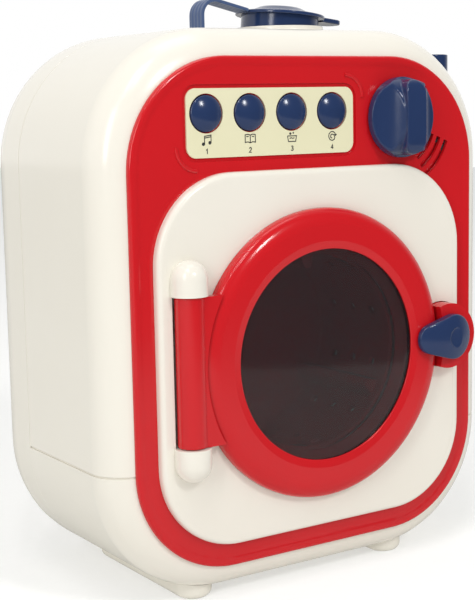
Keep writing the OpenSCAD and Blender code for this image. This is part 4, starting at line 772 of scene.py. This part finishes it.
class WASHER_OT_filler(bpy.types.Operator):
    """Spin the leaning cap with its stepped lid and thumb tab, and bend the soft strap over to it"""

    bl_idname = "washer.filler"
    bl_label = "Filler, cap and strap"

    def execute(self, context):
        dressed("filler_neck", "cream_shell", MATERIALS["cream_shell"], 0.2)
        dressed("filler_funnel", "tub_plastic", MATERIALS["tub_plastic"], 0.3)
        lean = math.radians(CAP_LEAN)
        axis = Vector((math.sin(lean), 0, math.cos(lean)))
        side = Vector((math.cos(lean), 0, -math.sin(lean)))
        seat = Vector((FILLER[0], -FILLER[1], TOP_Z + 1)) + axis * 6.4
        cap = turned("filler_cap_moulding", eased([
            (16.9, -9.4, 0), (18.2, -9.4, 0.5), (18.2, 0, 0), (21, 0, 0.35), (21, 1.4, 0.6),
            (13.6, 2.7, 5), (9.6, 4.5, 4), (5, 4.95, 6), (0, 5, 0)], closed=False)
            + [(0, 3), (10, 2.4), (16.9, -0.4)], seat, axis, side, 120)
        tab = prism("tab", eased([(18.6, -8.6, 0), (32.9, -5.8, 5), (32.9, 5.8, 5), (18.6, 8.6, 0)], steps=8),
                    seat - axis * 0.5, side, -OUT, axis, 2.2)
        softened(tab, 0.6, 50, 3)
        cut(cap, tab, "UNION")
        finished(cap, "cap", MATERIALS["blue_moulding"], ("filler_cap",), 40)

        lid_r = 21.2
        root = (STRAP_X, STRAP_W / 2 - FILLER[1], TOP_Z)
        edge = seat - side * lid_r + axis * 1.4 - Vector((STRAP_X, 0, TOP_Z))

        def course(depth):
            """The strap's line at a depth under its outer face: up, over an arch and down to the lid."""
            return ([(depth, -3.5), (depth, 0)] + arc(7.4, 7.5, 7.4 - depth, 180, 74, 14)
                    + [(edge.x - 0.1, edge.z + 0.3 - depth)])

        strap = prism("cap_strap_band", course(0) + course(STRAP_T)[::-1], root, RIGHT, UP, OUT, STRAP_W)
        barb = prism("barb", [(-1.85, -5.1), (3.35, -5.1), (3.35, -2.7), (-1.85, -2.7)], root,
                     RIGHT, UP, OUT, STRAP_W)
        cut(strap, barb, "UNION")
        softened(strap, 0.35, 50)
        finished(strap, None, MATERIALS["blue_strap"], ("cap_strap",), 40)
        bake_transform(strap)
        return {"FINISHED"}


class WASHER_OT_drain(bpy.types.Operator):
    """Spin the drain pipe with its rim and its hub, and finish its spigot and the duct inside"""

    bl_idname = "washer.drain"
    bl_label = "Drain pipe"

    def execute(self, context):
        r, hub = sizes().pipe_r / MM, (HUB_X, PIPE_FOOT[1], PIPE_FOOT[2])
        pipe = turned("drain_pipe_moulding", eased([
            (5.6, 0, 0), (r, 0, 0), (r, 150, 60), (r + 0.8, 188, 60), (r + 0.8, 197.9, 0.6),
            (5.6, 197.9, 0.5)]), PIPE_FOOT, UP, steps=72)
        elbow = turned("hub", eased([
            (5.05, 0, 0.3), (11, 0, 0.5), (11, 15.2, 1.6), (0, 15.2, 0), (0, 14.2, 0), (5.05, 14.2, 0)],
            closed=False), hub, RIGHT, UP, 72)
        cut(pipe, elbow, "UNION")
        room = turned("seal_room", [(0, -1), (6.5, -1), (6.5, 2.4), (0, 2.4)], hub, RIGHT, UP, 48)
        cut(pipe, room)
        finished(pipe, "pipe", MATERIALS["blue_moulding"], ("drain_pipe",), 40)
        dressed("outlet_spigot", "cream_shell", MATERIALS["cream_shell"], 0.2)
        dressed("spigot_seal", "black_rubber", MATERIALS["black_rubber"], 0.1)
        dressed("drain_duct", "tub_plastic", MATERIALS["tub_plastic"], 0.2)
        return {"FINISHED"}


class WASHER_OT_drum(bpy.types.Operator):
    """Finish the drum and the tub that it turns in"""

    bl_idname = "washer.drum"
    bl_label = "Drum and tub"

    def execute(self, context):
        dressed("drum", "red_moulding", MATERIALS["red_moulding"], 0.25)
        dressed("tub", "tub_plastic", MATERIALS["tub_plastic"], 0.2)
        dressed("drum_shaft", "steel", MATERIALS["steel"], 0.2)
        dressed("shaft_bush", "brass", MATERIALS["brass"], 0.1)
        dressed("shaft_seal", "black_rubber", MATERIALS["black_rubber"], 0.1)
        return {"FINISHED"}


class WASHER_OT_drive(bpy.types.Operator):
    """Finish the gears, the gearbox and the motor"""

    bl_idname = "washer.drive"
    bl_label = "Gears and motor"

    def execute(self, context):
        for node in ("drum_gear", "idler_gear", "gearbox_plate", "gearbox_housing"):
            dressed(node, "gear_plastic", MATERIALS["gear_plastic"], 0.12)
        dressed("idler_axle", "steel", MATERIALS["steel"], 0.15)
        dressed("motor_pinion", "brass", MATERIALS["brass"], 0.08)
        dressed("motor_can", "motor_steel", MATERIALS["motor_steel"], 0.3)
        dressed("motor_rotor", "copper_winding", MATERIALS["copper_winding"], 0.15)
        return {"FINISHED"}


class WASHER_OT_electrics(bpy.types.Operator):
    """Finish the circuit board, keypad, selector switch and loudspeaker"""

    bl_idname = "washer.electrics"
    bl_label = "Board, switch and loudspeaker"

    def execute(self, context):
        dressed("keypad_membrane", "grey_rubber", MATERIALS["grey_rubber"], 0.2)
        dressed("circuit_board", "board", MATERIALS["board"], 0.1)
        dressed("selector_switch", "switch_plastic", MATERIALS["switch_plastic"], 0.2)
        dressed("speaker_basket", "steel", MATERIALS["steel"], 0.2)
        dressed("speaker_cone", "cone_paper", MATERIALS["cone_paper"], 0.1)
        return {"FINISHED"}


class WASHER_OT_batteries(bpy.types.Operator):
    """Finish the battery box, its cells and contacts"""

    bl_idname = "washer.batteries"
    bl_label = "Battery box"

    def execute(self, context):
        dressed("battery_box", "tub_plastic", MATERIALS["tub_plastic"], 0.2)
        dressed("batteries", "battery_jacket", MATERIALS["battery_jacket"], 0.4)
        dressed("battery_contacts", "steel", MATERIALS["steel"], 0.1)
        return {"FINISHED"}


class WASHER_OT_screws(bpy.types.Operator):
    """Finish the groups of screws"""

    bl_idname = "washer.screws"
    bl_label = "Screws"

    def execute(self, context):
        for node in ("cover_screws", "board_screws", "tub_screws", "gearbox_screws", "battery_cover_screw"):
            dressed(node, "steel", MATERIALS["steel"], 0.15)
        return {"FINISHED"}


class WASHER_OT_stage(bpy.types.Operator):
    """Set the pale floor, the soft lights and the camera"""

    bl_idname = "washer.stage"
    bl_label = "Stage, lights and camera"

    def execute(self, context):
        scene = context.scene
        scene.view_settings.view_transform = "Standard"
        bpy.ops.object.select_all(action="DESELECT")
        front, along = Vector((0.547, -0.837, 0)), Vector((0.837, 0.547, 0))
        near, far, half = TABLE_FRONT, TABLE_FRONT - 8000, 4000
        floor = drawn("studio_floor", [front * u + along * v for u, v in (
            (near, -half), (near, half), (far, half), (far, -half))])
        bpy.ops.mesh.edge_face_add()
        bpy.ops.object.mode_set(mode="OBJECT")
        floor.data.materials.append(floor_paper())

        world = scene.world or bpy.data.worlds.new("studio")
        scene.world = world
        world.use_nodes = True
        tree = world.node_tree
        tree.nodes.clear()
        path = put(tree, "ShaderNodeLightPath")
        way = put(tree, "ShaderNodeTexCoord").outputs["Generated"]
        depth = put(tree, "ShaderNodeSeparateXYZ", None, {0: way}).outputs["Y"]
        studio = put(tree, "ShaderNodeMapRange", {"From Min": -0.45, "From Max": 0.35, "To Min": 0.07,
                                                  "To Max": 1.0}, {"Value": depth})
        mirrored = put(tree, "ShaderNodeBackground", {"Color": linear("#FFFFFF")},
                       {"Strength": studio.outputs["Result"]})
        room = put(tree, "ShaderNodeBackground", {"Color": linear("#FFFFFF"), "Strength": 0.56})
        white = put(tree, "ShaderNodeBackground", {"Color": linear("#FFFFFF"), "Strength": 1.0})
        lit = put(tree, "ShaderNodeMixShader", None,
                  {0: path.outputs["Is Glossy Ray"], 1: room.outputs[0], 2: mirrored.outputs[0]})
        plain = put(tree, "ShaderNodeMath", {"operation": "MAXIMUM"},
                    {0: path.outputs["Is Camera Ray"], 1: path.outputs["Is Transmission Ray"]})
        both = put(tree, "ShaderNodeMixShader", None,
                   {0: plain.outputs[0], 1: lit.outputs[0], 2: white.outputs[0]})
        put(tree, "ShaderNodeOutputWorld", None, {"Surface": both.outputs[0]})

        for name, place, aim, size, power in (
            ("key_softbox", (0.15, -1.35, 1.05), (0, 0, 0.14), (0.22, 0.3), 6.2),
            ("left_softbox", (-1.25, -0.75, 0.7), (0, 0, 0.13), (0.3, 0.9), 5.4),
            ("row_lamp_1", (-0.42, -0.62, 1.35), (0, 0, 0.12), (0.04, 0.6), 1.6),
            ("row_lamp_2", (-0.6, -0.5, 1.3), (0, 0, 0.12), (0.04, 0.6), 1.6),
            ("top_softbox", (0.1, 0.0, 1.3), (0, 0, 0.1), (0.6, 0.5), 1.5),
        ):
            bpy.ops.object.light_add(type="AREA", location=place)
            lamp = bpy.context.object
            lamp.name = lamp.data.name = name
            lamp.data.shape = "RECTANGLE"
            lamp.data.size, lamp.data.size_y = size
            lamp.data.energy = power
            lamp.rotation_euler = (Vector(aim) - Vector(place)).to_track_quat("-Z", "Y").to_euler()

        bpy.ops.object.camera_add(location=(-0.35596, -0.53993, 0.21595))
        camera = bpy.context.object
        camera.name = camera.data.name = "photo_camera"
        yaw, pitch, roll = (math.radians(a) for a in (33.22, 8.06, -1.16))
        ahead = Vector((math.sin(yaw) * math.cos(pitch), math.cos(yaw) * math.cos(pitch), -math.sin(pitch)))
        level = Vector((math.cos(yaw), -math.sin(yaw), 0))
        upright = level.cross(ahead)
        across = level * math.cos(roll) + upright * math.sin(roll)
        above = upright * math.cos(roll) - level * math.sin(roll)
        camera.rotation_euler = Matrix((across, above, -ahead)).transposed().to_euler()
        camera.data.sensor_fit = "VERTICAL"
        camera.data.sensor_height = 36
        camera.data.lens = 81.264
        camera.data.clip_start, camera.data.clip_end = 0.01, 50
        scene.camera = camera
        return {"FINISHED"}


def floor_paper():
    """Matt paper on the table: bright where it is seen or lights the washer, greyer where it is mirrored."""
    material = bpy.data.materials.new("background_paper")
    material.use_nodes = True
    tree = material.node_tree
    tree.nodes.clear()
    path = put(tree, "ShaderNodeLightPath")
    fibre = put(tree, "ShaderNodeTexNoise", {"Scale": 220.0, "Detail": 3.0},
                {"Vector": put(tree, "ShaderNodeTexCoord").outputs["Object"]})
    tone = put(tree, "ShaderNodeMix", {"data_type": "RGBA", 6: linear("#C9C9C7"), 7: linear("#CDCDCB")},
               {0: fibre.outputs["Fac"]})
    paper = put(tree, "ShaderNodeBsdfDiffuse", {"Roughness": 0.9}, {"Color": tone.outputs[2]})
    glow = put(tree, "ShaderNodeEmission", {"Color": linear("#FFFFFF"), "Strength": 0.40})
    none = put(tree, "ShaderNodeEmission", {"Strength": 0.0})
    lift = put(tree, "ShaderNodeMixShader", None,
               {0: path.outputs["Is Glossy Ray"], 1: glow.outputs[0], 2: none.outputs[0]})
    both = put(tree, "ShaderNodeAddShader", None, {0: paper.outputs[0], 1: lift.outputs[0]})
    put(tree, "ShaderNodeOutputMaterial", None, {"Surface": both.outputs[0]})
    return material


PIECES = (
    WASHER_OT_casing, WASHER_OT_rear, WASHER_OT_front, WASHER_OT_door, WASHER_OT_latch,
    WASHER_OT_label, WASHER_OT_buttons, WASHER_OT_knob, WASHER_OT_filler, WASHER_OT_drain,
    WASHER_OT_drum, WASHER_OT_drive, WASHER_OT_electrics, WASHER_OT_batteries, WASHER_OT_screws,
    WASHER_OT_stage,
)


class WASHER_PT_panel(bpy.types.Panel):
    """Lists the washer's sizes, colours and pieces"""

    bl_idname = "WASHER_PT_panel"
    bl_label = "Toy washing machine"
    bl_space_type = "VIEW_3D"
    bl_region_type = "UI"
    bl_category = "Washer"

    def draw(self, context):
        for group in (context.scene.washer_sizes, context.scene.washer_colours):
            box = self.layout.box()
            for name in group.__annotations__:
                box.prop(group, name)
        for piece in PIECES:
            self.layout.operator(piece.bl_idname)


CLASSES = (WasherSizes, WasherColours, *PIECES, WASHER_PT_panel)


def register():
    for item in CLASSES:
        bpy.utils.register_class(item)
    bpy.types.Scene.washer_sizes = bpy.props.PointerProperty(type=WasherSizes)
    bpy.types.Scene.washer_colours = bpy.props.PointerProperty(type=WasherColours)


def unregister():
    del bpy.types.Scene.washer_colours
    del bpy.types.Scene.washer_sizes
    for item in reversed(CLASSES):
        bpy.utils.unregister_class(item)


def main():
    """Registers the panel and its settings, makes the materials and builds every piece."""
    register()
    chosen_colours = bpy.context.scene.washer_colours
    MATERIALS.update(make_materials({
        name: tuple(getattr(chosen_colours, name)) for name in WasherColours.__annotations__}))
    for piece in PIECES:
        package, name = piece.bl_idname.split(".")
        getattr(getattr(bpy.ops, package), name)()


if __name__ == "__main__":
    main()
